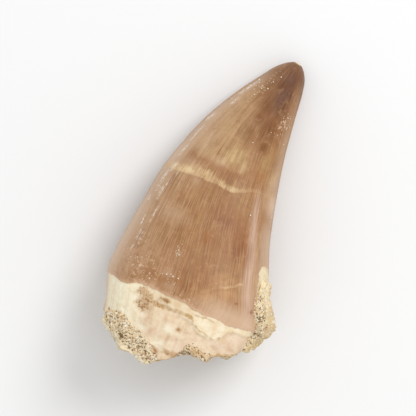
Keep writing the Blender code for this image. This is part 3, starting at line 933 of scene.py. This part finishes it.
def brown_enamel(tree):
    """Glossy where it is sound, and duller on dust, the crack's filling, the bare flank and umber."""
    place, grain = object_place(tree), grain_place(tree)
    streaks = [noise(grain, size, 2.0, 0.55) for size in STREAK_SIZES]
    broad, middle, fine = streaks
    colour = coats(
        streaked(tree, enamel_zones(tree, place, broad), place, streaks),
        # A painted highlight on the shoulder ridge.
        (mark(tree, "shoulder") * between(fine, 0.3, 0.7, 0.4, 0.75), (224, 192, 172)),
        # Pale rims and patches: wear, with painted sheen at the rims.
        (mark(tree, "pale") * 0.75, (232, 200, 170)),
    )
    crack, colour = cracked(tree, colour, place, middle, fine)
    # Scratches near the outer edge, lightened as painted glints.
    glint_scratch = mark(tree, "glint_scratch") * between(noise(place, 0.0005, 3.0, 0.7), 0.42, 0.58, 0.1, 1.0)
    chalk, sandy = mark(tree, "chalk"), mark(tree, "sandy_flank")
    dust = specks(place, 0.0004, chalk)
    bare = ragged(place, mark(tree, "bare_flank"), wander=0.8, size=0.0008, soft=0.12)
    flank = coats(
        blend(cloudy(place, 0.0009, 1.0), (250, 236, 204), (232, 208, 164)),
        (sandy * 0.8, (214, 186, 146)), (specks(place, 0.0003, sandy * 0.6) * 0.8, (132, 108, 80)),
    )
    chip = ragged(place, mark(tree, "tip_chip") - 0.4, wander=1.0, size=0.0006, soft=0.12)
    near_margin = ragged(place, 0.3 - mark(tree, "margin_gap"), wander=1.0, size=0.0008, soft=0.4)
    colour = coats(
        colour, (glint_scratch * between(fine, 0.36, 0.56), (254, 244, 230)), (dust * chalk, (240, 208, 184)),
        (bare, flank), (chip, (250, 222, 160)), (near_margin * 0.7, (226, 186, 154)),
    )
    dull = math_node("MAXIMUM", math_node("MAXIMUM", dust, crack), bare)
    dull = math_node("MAXIMUM", dull, mark(tree, "umber") * 0.9)
    return {
        "Base Color": colour, "Roughness": between(fine, 0.3, 0.7, 0.36, 0.5) + dull * 0.3, "IOR": 1.5,
        "Specular IOR Level": 0.28, "Normal": relief(middle * 0.6 + fine + dust * 0.6, 0.45, 0.00005),
    }


BROWN_ENAMEL = finish_of("brown_enamel", brown_enamel)
print("enamel nodes:", len(BROWN_ENAMEL.node_tree.nodes))

# %% [markdown]
# Root: a thin chalky cream cement over warmer dentine that is pinkish in places, both matt. Ochre
# water stains sit in the step where the cement has flaked off, and the broken face shows growth rings
# round the hollow.

# %% Chalky root
def chalky_root(tree):
    """Dentine first, with the broken face's rings on it, then the cement, then stains over both."""
    place, grain = object_place(tree), grain_place(tree)
    clouds, soft = cloudy(place, 0.0014, 0.9), cloudy(place, 0.0042, 0.8)
    fibres = noise(grain, 0.35, 3.0, 0.6)
    on_break = mark(tree, "on_break")
    rings = put(tree, "ShaderNodeMath", {0: mark(tree, "break_share") * 26.0 + soft * 3.0}, operation="SINE")
    ringed = blend(between(rings, -0.4, 0.9), (222, 190, 146), (196, 156, 108))
    # Colours above 255 here and in the cement are painted light: they make up for the weaker light on the
    # root's left side.
    dentine = coats(
        blend(clouds, (256, 238, 206), (228, 196, 158)),
        (soft * 0.35, (246, 214, 188)), (between(fibres, 0.5, 0.7, 0.0, 0.5), (255, 244, 218)),
        (mark(tree, "pink") * 0.45, (252, 222, 200)),
        (mark(tree, "cream") * between(clouds, 0.0, 1.0, 0.95, 0.5), (262, 252, 226)),
        (on_break * 0.7, blend(specks(place, 0.0004, 0.6) * 0.6, ringed, (156, 118, 78))),
    )
    # The cement's colours above 255 are painted light for the weaker-lit left side.
    cement = coats(
        blend(clouds, (270, 262, 236), (262, 246, 212)),
        (mark(tree, "warm_cement"), blend(clouds, (260, 246, 218), (248, 224, 186))),
        (between(fibres, 0.5, 0.34, 0.0, 0.35), (240, 220, 184)),
        (mark(tree, "dull_band") * between(clouds, 0.0, 1.0, 0.5, 1.0), (232, 204, 166)),
    )
    covered = ragged(place, mark(tree, "cement_gap"), wander=0.9, size=0.0009, soft=0.18)
    line = ragged(place, mark(tree, "ochre_line"), wander=0.5, size=0.0007, soft=0.14)
    blotch = ragged(place, mark(tree, "ochre") - 0.45, wander=1.2, size=0.0007, soft=0.35)
    colour = coats(
        dentine, (covered, cement),
        (line * between(clouds, 0.0, 1.0, 0.35, 0.85), (200, 162, 108)), (blotch * 0.75, (202, 160, 118)),
        (specks(place, 0.0004, 0.66) * blotch * 0.75, (152, 114, 80)),
        (specks(grain, 0.3, 0.55) * blotch * 0.5, (240, 216, 176)),
        (mark(tree, "stain_core") * between(clouds, 0.0, 1.0, 0.4, 0.9), (162, 122, 80)),
        (mark(tree, "rust") * 0.85, (182, 122, 70)), (mark(tree, "root_rim") * 0.8, (222, 180, 146)),
        (specks(place, 0.0004, 0.14) * 0.4, (198, 162, 118)),
    )
    craggy = noise(place, 0.0009, 5.0, 0.7) * on_break * 8.0
    return {
        "Base Color": colour, "Roughness": between(clouds, 0.0, 1.0, 0.7, 0.9), "IOR": 1.5,
        "Specular IOR Level": 0.28,
        "Normal": relief(noise(place, 0.00025, 3.0, 0.65) + clouds * 0.7 + craggy, 0.6, 0.00008),
    }


def placed(name, data):
    made = bpy.data.objects.new(name, data)
    bpy.context.scene.collection.objects.link(made)
    return made


def shown(mesh, *finishes, slot):
    """A finished piece in the scene, named as its mesh and riding on the one body. The slot is not used."""
    for finish in finishes:
        mesh.materials.append(finish)
    made = placed(mesh.name, mesh)
    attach(made, "root")
    return made


TOOTH = shown(TOOTH_MESH, BROWN_ENAMEL, finish_of("chalky_root", chalky_root), slot="fossil_tooth")
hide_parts("tooth")
print(TOOTH.name, "stands for the CAD tooth")

# %% [markdown]
# The sand is a crust: it fills the pulp hollow, spills over the outer corner of the root, climbs the
# inner flank in a strip and shows as a lump at the break's upper edge. Its depth is one function of
# the place on the tooth, and only where that is above 0 does it stand over the surface.

# %% How deep the sand lies
SAND_THICKNESS = 0.75
SAND_CORNER_EXTRA = 0.3
SAND_STRIP_EXTRA = 0.6
SAND_STRIP_TOP_THINNER = 0.5
SAND_BRIDGE_THINNER = 0.55
SAND_DIP = 0.9
SAND_PLUG_SETBACK = 1.4
SAND_PLUG_SHARE = 0.86
SAND_LOWEST_Z = 4.0
SAND_CORNER_X = (-11.0, -1.6)
SAND_STRIP_TOP_Y = -6.8
SAND_BRIDGE_X = (6.0, 9.5)
SAND_BRIDGE_TOP_Z = 12.0
SAND_LUMP_X = 3.5
SAND_LUMP_REACH = 2.1
SAND_LUMP_LOWEST_Z = 9.0
SAND_LUMP_SPILL = 0.7
ROOT_HEART = (0.0, -11.0, 9.0)
CORNER_SAND_LINE = (
    (-14, -19.3), (-10.7, -19.6), (-7.6, -19.7), (-6.3, -20.6), (-5.2, -21.1), (-3.1, -21.9), (-1.2, -23.4),
)
STRIP_SAND_LINE = ((-6.0, 8.6), (-8.5, 8.4), (-11.5, 9.1), (-14.8, 10.3), (-16.4, 9.7), (-19, 9.4))
RIND_EDGE = (
    (-5, 7.0), (-7, 7.4), (-8, 8.5), (-9, 9.3), (-10, 10.0), (-11, 10.7), (-12, 11.3), (-13, 11.9),
    (-14, 12.0), (-15, 11.2), (-16, 10.7), (-19, 9.6),
)
SAND_POINTS = ((-6.6, 0.5, 0.6), (-4.8, -0.6, 0.8), (-9.5, -0.3, 0.9))  # x, extra thickness, spread
SAND_POINTS_BELOW_Y = (-20.5, -22.5)
SAND_POINTS_ABOVE_Z = (4, 9)


def sand_depth(points, shares):
    """How thick the sand is at each point, and below 0 where the tooth is bare."""
    x, y, z = np.moveaxis(points, -1, 0)
    on_break = shares <= 1
    uneven = 0.5 * lumps(points, 1.5, 4)
    low = z - SAND_LOWEST_Z - 2 * uneven - 1.8 * lumps(points, 3.4, 34)
    face_edge = smooth_step(15.5, 12, z) * (0.6 + 1.8 * lumps(points, 2.8, 35))
    corner = np.minimum(x - SAND_CORNER_X[0], SAND_CORNER_X[1] - face_edge - x)
    corner = np.minimum(corner, through(CORNER_SAND_LINE, x) - y)
    flank_edge = smooth_step(9.5, 6.5, z) * (1.2 + 3.0 * lumps(points, 3.0, 41))
    strip = np.minimum(x - through(STRIP_SAND_LINE, y), SAND_STRIP_TOP_Y - flank_edge - y)
    spill = np.minimum(np.maximum(corner, strip), low) + 0.6 * uneven
    bridge = 2 * smooth_step(*SAND_BRIDGE_X, x) - 0.6
    bridge = np.minimum(bridge, np.minimum(low, SAND_BRIDGE_TOP_Z - z))
    lump = np.minimum(SAND_LUMP_REACH - np.abs(x - SAND_LUMP_X), z - SAND_LUMP_LOWEST_Z)
    lump = np.minimum(lump, 1 + SAND_LUMP_SPILL - shares)
    over_rim = np.where(on_break, np.maximum.reduce([spill, bridge, lump]), np.maximum(spill, lump))
    plug = np.where(on_break, (SAND_PLUG_SHARE - shares) * 9 + uneven, -1)
    thickness = (
        SAND_THICKNESS + SAND_CORNER_EXTRA * smooth_step(0, 3, corner)
        + SAND_STRIP_EXTRA * smooth_step(0.5, 2.5, strip) * smooth_step(-10.5, -13.2, y)
        - SAND_STRIP_TOP_THINNER * smooth_step(-12, -9, y)
        - SAND_BRIDGE_THINNER * on_break * smooth_step(5, 8, x)
        - SAND_PLUG_SETBACK * on_break * (1 - smooth_step(-1.2, 0.4, over_rim))
    )
    at_lower_edge = smooth_step(*SAND_POINTS_BELOW_Y, y) * smooth_step(*SAND_POINTS_ABOVE_Z, z)
    for middle, extra, spread in SAND_POINTS:
        thickness = thickness + extra * bump(x, middle, spread) * at_lower_edge
    thickness = thickness + lumpy(points, (0.3, 1.3, 5), (0.2, 2.6, 6))
    covered = smooth_step(-0.35, 0.55, np.maximum(over_rim, plug))
    return covered * (thickness + SAND_DIP) - SAND_DIP


def pushed_out(points, distance):
    """Points moved away from the heart of the root, so that the surface can't fold over itself."""
    away = points - np.array(ROOT_HEART)
    length = np.linalg.norm(away, axis=-1, keepdims=True)
    return points + away / length * np.broadcast_to(distance, points.shape[:-1])[..., None]


# %% The crust as a closed patch
FIRST_SAND_ROW = 120
CRUST_SHOWS_ABOVE = -0.25
CRUST_UNDERSIDE = 0.35


def closed_patch(name, outer, inner, kept):
    """A closed shell over the kept quads: outer faces, inner faces turned round, and a wall between.

    A wall stands on each edge of the outer faces that no other outer face shares.
    """
    rings, columns = outer.shape[:2]
    count = rings * columns + 1
    points = [part for side in (outer, inner) for part in (side.reshape(-1, 3), side[-1].mean(axis=0)[None])]
    quads = ring_quads(rings, columns)[kept]
    closing = fan(count - 1 - columns, columns, count - 1)
    edges = [np.stack([corners, np.roll(corners, -1, axis=1)], axis=-1) for corners in (quads, closing)]
    edges = np.concatenate([pairs.reshape(-1, 2) for pairs in edges])
    forward, backward = edges @ (2 * count, 1), edges @ (1, 2 * count)
    start, stop = edges[~np.isin(forward, backward)].T
    walls = np.stack([stop, start, start + count, stop + count], axis=-1)
    inside = [(corners + count)[:, ::-1] for corners in (quads, closing)]
    mesh, used = mesh_of(name, np.concatenate(points), quads, walls, inside[0], closing, inside[1])
    mesh.shade_smooth()
    return mesh, used


def crust_layers():
    """The crust's upper and lower surface over the lower part of the grid, and its depth."""
    filled, hollowed, shares = (grid[FIRST_SAND_ROW:] for grid in (FILLED, HOLLOWED, SHARES))
    depth = sand_depth(filled, shares)
    rough = lumpy(filled, (0.16, 0.7, 31), (0.09, 0.32, 32))
    outer = pushed_out(filled, depth + rough * smooth_step(-0.3, 0.3, depth))
    inner = pushed_out(hollowed, -CRUST_UNDERSIDE + np.minimum(depth - CRUST_SHOWS_ABOVE, 0))
    return outer, inner, depth


CRUST_OUTER, CRUST_INNER, CRUST_DEPTH = crust_layers()
DEPTH_BESIDE = np.roll(CRUST_DEPTH, -1, axis=1)
CORNER_DEPTHS = np.stack([CRUST_DEPTH[:-1], CRUST_DEPTH[1:], DEPTH_BESIDE[:-1], DEPTH_BESIDE[1:]])
CRUST_KEPT = CORNER_DEPTHS.max(axis=0) > CRUST_SHOWS_ABOVE
CRUST_MESH, CRUST_USED = closed_patch("sand_crust", CRUST_OUTER, CRUST_INNER, CRUST_KEPT)
print("sand crust:", len(CRUST_MESH.polygons), "faces")

# %% [markdown]
# Sand reads as sand by its grains. Each is a small many-sided stone, stretched and turned its own
# way. All grains of a piece are worked out as one array: a few stone shapes, times a size and a turn
# for each grain. They sit half sunk in the crust.

# %% Grains of sand
STONE_SHAPES = 12
GRAIN_SEED = 11
DARK_GRAINS_SMALLER = 0.78
DARK_FROM_TINT = 0.76


def stone_shapes(rng):
    """A few stones of radius 1: a cube whose faces are cut in four, each corner put at distance 1 from
    the middle and then pulled in or out. That is 48 triangles, few enough to repeat thousands of times.
    """
    bm = bmesh.new()
    bmesh.ops.create_cube(bm, size=2)
    bmesh.ops.subdivide_edges(bm, edges=bm.edges[:], cuts=1, use_grid_fill=True)
    bm.verts.index_update()
    ball = np.array([v.co.normalized()[:] for v in bm.verts])
    faces = np.array([[v.index for v in face.verts] for face in bm.faces])
    bm.free()
    pulled = 1 + rng.uniform(-0.28, 0.22, (STONE_SHAPES, len(ball), 1))
    return ball * pulled, faces


def turned(rng, shapes):
    """Each shape turned by a random unit quaternion (w, v): p + 2 v x (v x p + w p)."""
    turn = rng.normal(size=(len(shapes), 1, 4))
    turn /= np.linalg.norm(turn, axis=-1, keepdims=True)
    w, v = turn[..., :1], turn[..., 1:]
    return shapes + 2 * np.cross(v, np.cross(v, shapes) + w * shapes)


def stones_at(name, rng, places, radii, tint):
    """One mesh of many stones: shape times stretch times radius, turned, and moved to its place."""
    shapes, faces = stone_shapes(rng)
    count, corners = len(places), shapes.shape[1]
    stretch = rng.uniform(0.75, 1.25, (count, 1, 3)) * radii[:, None, None]
    local = shapes[rng.integers(0, STONE_SHAPES, count)] * stretch
    points = turned(rng, local) + places[:, None]
    numbered = faces[None] + (np.arange(count) * corners)[:, None, None]
    mesh, _ = mesh_of(name, points.reshape(-1, 3), numbered.reshape(-1, faces.shape[1]))
    store(mesh, "grain_tint", np.repeat(np.clip(tint, 0, 1), corners))
    return mesh


def places_on_crust(rng, per_mm2, wanted):
    """Random places on what shows of the crust, so many to a square mm times the wanted share."""
    corners = VISIBLE.reshape(-1, 3)[ring_quads(*VISIBLE.shape[:2])]
    upright = np.cross(corners[:, :, 2] - corners[:, :, 0], corners[:, :, 3] - corners[:, :, 1])
    share = np.cumsum((np.linalg.norm(upright, axis=-1) / 2 * wanted).ravel())
    pick = np.searchsorted(share, rng.uniform(0, share[-1], int(share[-1] * per_mm2)))
    a, b, c, d = corners.reshape(-1, 4, 3)[pick].transpose(1, 0, 2)
    u, v = rng.uniform(0, 1, (2, len(pick), 1))
    places = a * (1 - u) * (1 - v) + b * u * (1 - v) + c * u * v + d * (1 - u) * v
    upright = upright.reshape(-1, 3)[pick]
    outward = -upright / np.linalg.norm(upright, axis=-1, keepdims=True)
    return places, outward, RIND[:-1].ravel()[pick]


def sand_grains(name, wanted, per_mm2, radius, spread, seed, tints=(0.0, 1.0)):
    """Grains of radii round a middle one. Neighbours are of like tint, and pale on the lime rind."""
    rng = np.random.default_rng(seed)
    places, outward, rind = places_on_crust(rng, per_mm2, wanted)
    radii = radius * np.exp(rng.normal(0, spread, len(places)))
    tint = rng.uniform(*tints, len(places)) + 0.4 * lumps(places, 1.1, 33)
    tint = tint - 0.4 * smooth_step(-0.2, 0.5, rind)
    radii = radii * np.where(tint > DARK_FROM_TINT, DARK_GRAINS_SMALLER, 1.0)
    places = places + outward * (radii * rng.uniform(-0.3, 0.4, len(places)))[:, None]
    return stones_at(name, rng, places, radii, tint)


def rind_marks():
    """How far each point lies inside the smooth lime rind, in mm. It covers the crust's upper edges."""
    x, y, z = np.moveaxis(CRUST_OUTER, -1, 0)
    patchy = 2.6 * lumps(CRUST_OUTER, 2.2, 36)
    outer = 0.7 - (x - through(OUTER_EDGE, y))
    lowest = through(BREAK_LINE, x) - 0.35 * smooth_step(-9, -7, x) - y
    corner = np.minimum(np.maximum(outer, lowest), z - 12.0 + patchy)
    return np.where(x < 0, corner, np.minimum(x - through(RIND_EDGE, y), z - 8.0 + patchy))


MIDDLE_DEPTH = CORNER_DEPTHS.mean(axis=0)
QUAD_X, QUAD_Y, QUAD_Z = np.moveaxis(CRUST_OUTER[:-1], -1, 0)
ON_BREAK = SHARES[FIRST_SAND_ROW:-1] < 0.97
VISIBLE = np.where((CRUST_DEPTH > 0)[..., None], CRUST_OUTER, FILLED[FIRST_SAND_ROW:])
RIND = rind_marks()
SPRINKLED = smooth_step(-0.8, -0.2, MIDDLE_DEPTH) * (QUAD_Z > SAND_LOWEST_Z) * ~ON_BREAK
SPRINKLED = SPRINKLED * (1 - 0.85 * smooth_step(-0.2, 0.5, RIND[:-1]))
HOLLOW = (MIDDLE_DEPTH > -1.2) & CRUST_KEPT & ON_BREAK
STRIP_WEIGHT = SPRINKLED * (QUAD_X > 0) * (1 - 0.6 * smooth_step(-14.5, -15.5, QUAD_Y))
GRAIN_MESHES = [
    sand_grains("sand_grains_corner", SPRINKLED * (QUAD_X < 0), 13.0, 0.12, 0.32, GRAIN_SEED),
    sand_grains("sand_grains_strip", STRIP_WEIGHT, 11.0, 0.11, 0.32, GRAIN_SEED + 1, (0.35, 0.82)),
    sand_grains("sand_grains_hollow", HOLLOW, 5.0, 0.16, 0.35, GRAIN_SEED + 2, (0.3, 0.9)),
]
for grains in GRAIN_MESHES:
    print(grains.name, len(grains.polygons), "faces")

# %% Dust on the enamel
DUST_SPOTS = (  # x, y, radius of the speck
    (-0.4, 22.25, 0.11), (-1.2, 21.1, 0.1), (-3.3, 20.65, 0.13), (-1.6, 19.85, 0.12), (-2.5, 19.5, 0.09),
    (-4.2, 19.3, 0.13), (-3.1, 18.25, 0.1), (-3.6, 16.85, 0.08), (-6.0, 16.4, 0.09), (2.9, 16.9, 0.1),
    (2.3, 16.6, 0.08), (1.4, 13.9, 0.08), (3.8, 13.0, 0.08), (-0.56, 11.4, 0.1), (-8.2, 12.3, 0.13),
    (3.2, 1.2, 0.13), (6.3, 2.1, 0.1), (-7.0, -13.1, 0.11), (-4.9, -11.6, 0.13), (-3.9, -11.5, 0.12),
    (-3.1, -11.5, 0.11),
)
DUST_CLUSTERS = (  # x, y, reach, how many
    (-4.6, -7.8, 0.55, 22), (-4.55, -8.15, 0.3, 14), (-8.6, -12.2, 2.0, 26), (-4.2, -11.6, 1.1, 12),
    (-11.0, -0.5, 0.5, 16), (2.6, 15.6, 1.0, 20), (-2.6, 19.8, 1.0, 18), (-0.5, -13.6, 4.5, 14),
)


def dust_specks():
    """Single specks at drawn places, and loose clusters round others, laid on the upper surface."""
    rng = np.random.default_rng(GRAIN_SEED + 3)
    flat = [np.array(DUST_SPOTS)]
    for x, y, reach, count in DUST_CLUSTERS:
        at = rng.normal(0, reach * 0.6, (count, 2)) * (1, 1.3) + (x, y)
        flat.append(np.column_stack([at, rng.uniform(0.03, 0.07, count)]))
    flat = np.concatenate(flat)
    flat = flat[flat[:, 1] > -14.0]
    places = on_top(flat[:, 0], flat[:, 1])
    places[:, 2] += flat[:, 2] * 0.2
    return stones_at("dust_specks", rng, places, flat[:, 2], rng.uniform(0, 0.3, len(flat)))


DUST_MESH = dust_specks()
print(DUST_MESH.name, len(DUST_MESH.polygons), "faces")

# %% [markdown]
# The crust is a tan cement with dark dots in it, paler where a lime rind covers it. The grains share
# one finish that turns each grain's own number into cream, tan or brown.

# %% Finishes of the sand
GRAIN_TINTS = (  # grain number from and to which the colour turns, colour
    (0.0, 0.3, (258, 244, 213)), (0.42, 0.46, (249, 224, 185)), (0.62, 0.64, (226, 199, 161)),
    (0.76, 0.78, (176, 148, 112)), (0.88, 0.9, (124, 101, 74)),
)


def sand_cement(tree):
    """Uneven tan, then the rind, then dots that the rind half hides, then iron stains."""
    place = object_place(tree)
    clouds = cloudy(place, 0.0011, 1.2)
    lime = ragged(place, mark(tree, "rind"), wander=1.0, size=0.0009, soft=0.3)
    rind = blend(clouds, (268, 254, 220), (256, 236, 194))
    dots = specks(place, 0.0003, between(cloudy(place, 0.0022, 0.8), 0.0, 1.0, 0.5, 0.85))
    colour = coats(
        blend(clouds, (226, 200, 163), (257, 241, 207)),
        (lime, blend(mark(tree, "tan_rind") * 0.8, rind, (226, 198, 152))),
        (dots * between(lime, 0.0, 1.0, 0.9, 0.3), (114, 94, 72)), (mark(tree, "iron") * 0.7, (190, 144, 98)),
    )
    return {
        "Base Color": colour, "Roughness": 0.95, "IOR": 1.45, "Specular IOR Level": 0.3,
        "Normal": relief(noise(place, 0.00022, 3.0, 0.7), 0.8, 0.0001),
    }


def sand_stone(tree):
    tint, clouds = mark(tree, "grain_tint"), cloudy(object_place(tree), 0.0003, 0.8)
    tints = [(between(tint, low, high), shade) for low, high, shade in GRAIN_TINTS]
    return {
        "Base Color": coats((255, 250, 236), *tints, (clouds * 0.25, (200, 172, 128))),
        "Roughness": between(clouds, 0.0, 1.0, 0.5, 0.8), "IOR": 1.5, "Specular IOR Level": 0.4,
    }


CRUST_MARKS = {
    "rind": RIND, "iron": spots(CRUST_OUTER, "iron"),
    "tan_rind": (0.35 + 0.65 * smooth_step(-9.5, -11.5, CRUST_OUTER[..., 1])) * (CRUST_OUTER[..., 0] > 4),
}
for name, values in CRUST_MARKS.items():
    both_layers = np.concatenate([values.ravel(), [0], values.ravel(), [0]])
    store(CRUST_MESH, name, both_layers[CRUST_USED])
CRUST = shown(CRUST_MESH, finish_of("sand_cement", sand_cement), slot="cemented_sand")
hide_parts("sand_matrix")
SAND_STONE = finish_of("sand_stone", sand_stone)
for stones in (*GRAIN_MESHES, DUST_MESH):
    shown(stones, SAND_STONE, slot="cemented_sand")

# %% [markdown]
# The picture is a plain product shot from straight above: a white floor, one large soft light from
# the upper right, and an even white sky that fills the shadow. The camera looks down from a distance,
# turned so that the tooth leans as in the photograph.

# %% Floor, light and camera
LEAN = math.radians(22.57)
LOOK_AT = (-3.02, -0.20, 8.0)
CAMERA_DISTANCE = 0.6
FRAME_WIDTH = 0.0624
SENSOR = 36.0
FLOOR_REACH = 2.0
KEY_PLACE = (0.32, 0.28, 0.52)  # along the picture's right, along its up, and straight up
KEY_SIZE = 0.32
KEY_WATTS = 2.15
SKY_STRENGTH = 0.86


def lay_floor():
    mesh = bpy.data.meshes.new("floor")
    corners = [(-1, -1, 0), (1, -1, 0), (1, 1, 0), (-1, 1, 0)]
    mesh.from_pydata((np.array(corners) * FLOOR_REACH).tolist(), [], [(0, 1, 2, 3)])
    white = {"Base Color": (0.8, 0.8, 0.8, 1), "Roughness": 0.9}
    mesh.materials.append(finish_of("white_floor", lambda tree: white))
    floor = placed("floor", mesh)


def hang_key():
    """The one lamp: a soft square, turned towards the tooth."""
    lamp = bpy.data.lights.new("key", "AREA")
    lamp.shape, lamp.size, lamp.energy = "SQUARE", KEY_SIZE, KEY_WATTS
    made = placed("key", lamp)
    right, up, high = KEY_PLACE
    picture_right = np.array([math.cos(LEAN), math.sin(LEAN), 0])
    picture_up = np.array([-math.sin(LEAN), math.cos(LEAN), 0])
    made.location = picture_right * right + picture_up * up + np.array([0, 0, high])
    made.rotation_euler = (-made.location).to_track_quat("-Z", "Y").to_euler()


def overhead_camera():
    lens = bpy.data.cameras.new("camera")
    lens.sensor_width = SENSOR
    lens.lens = SENSOR * CAMERA_DISTANCE / FRAME_WIDTH
    lens.clip_start, lens.clip_end = 0.05, 20
    made = placed("camera", lens)
    made.location = (LOOK_AT[0] * MM, LOOK_AT[1] * MM, LOOK_AT[2] * MM + CAMERA_DISTANCE)
    made.rotation_euler = (0, 0, LEAN)
    bpy.context.scene.camera = made
    return made


lay_floor()
hang_key()
sky = bpy.data.worlds.new("white_sky")
sky.use_nodes = True
sky.node_tree.nodes["Background"].inputs["Color"].default_value = (1, 1, 1, 1)
sky.node_tree.nodes["Background"].inputs["Strength"].default_value = SKY_STRENGTH
bpy.context.scene.world = sky
bpy.context.scene.view_settings.view_transform = "Standard"
print("camera:", overhead_camera().location[:])
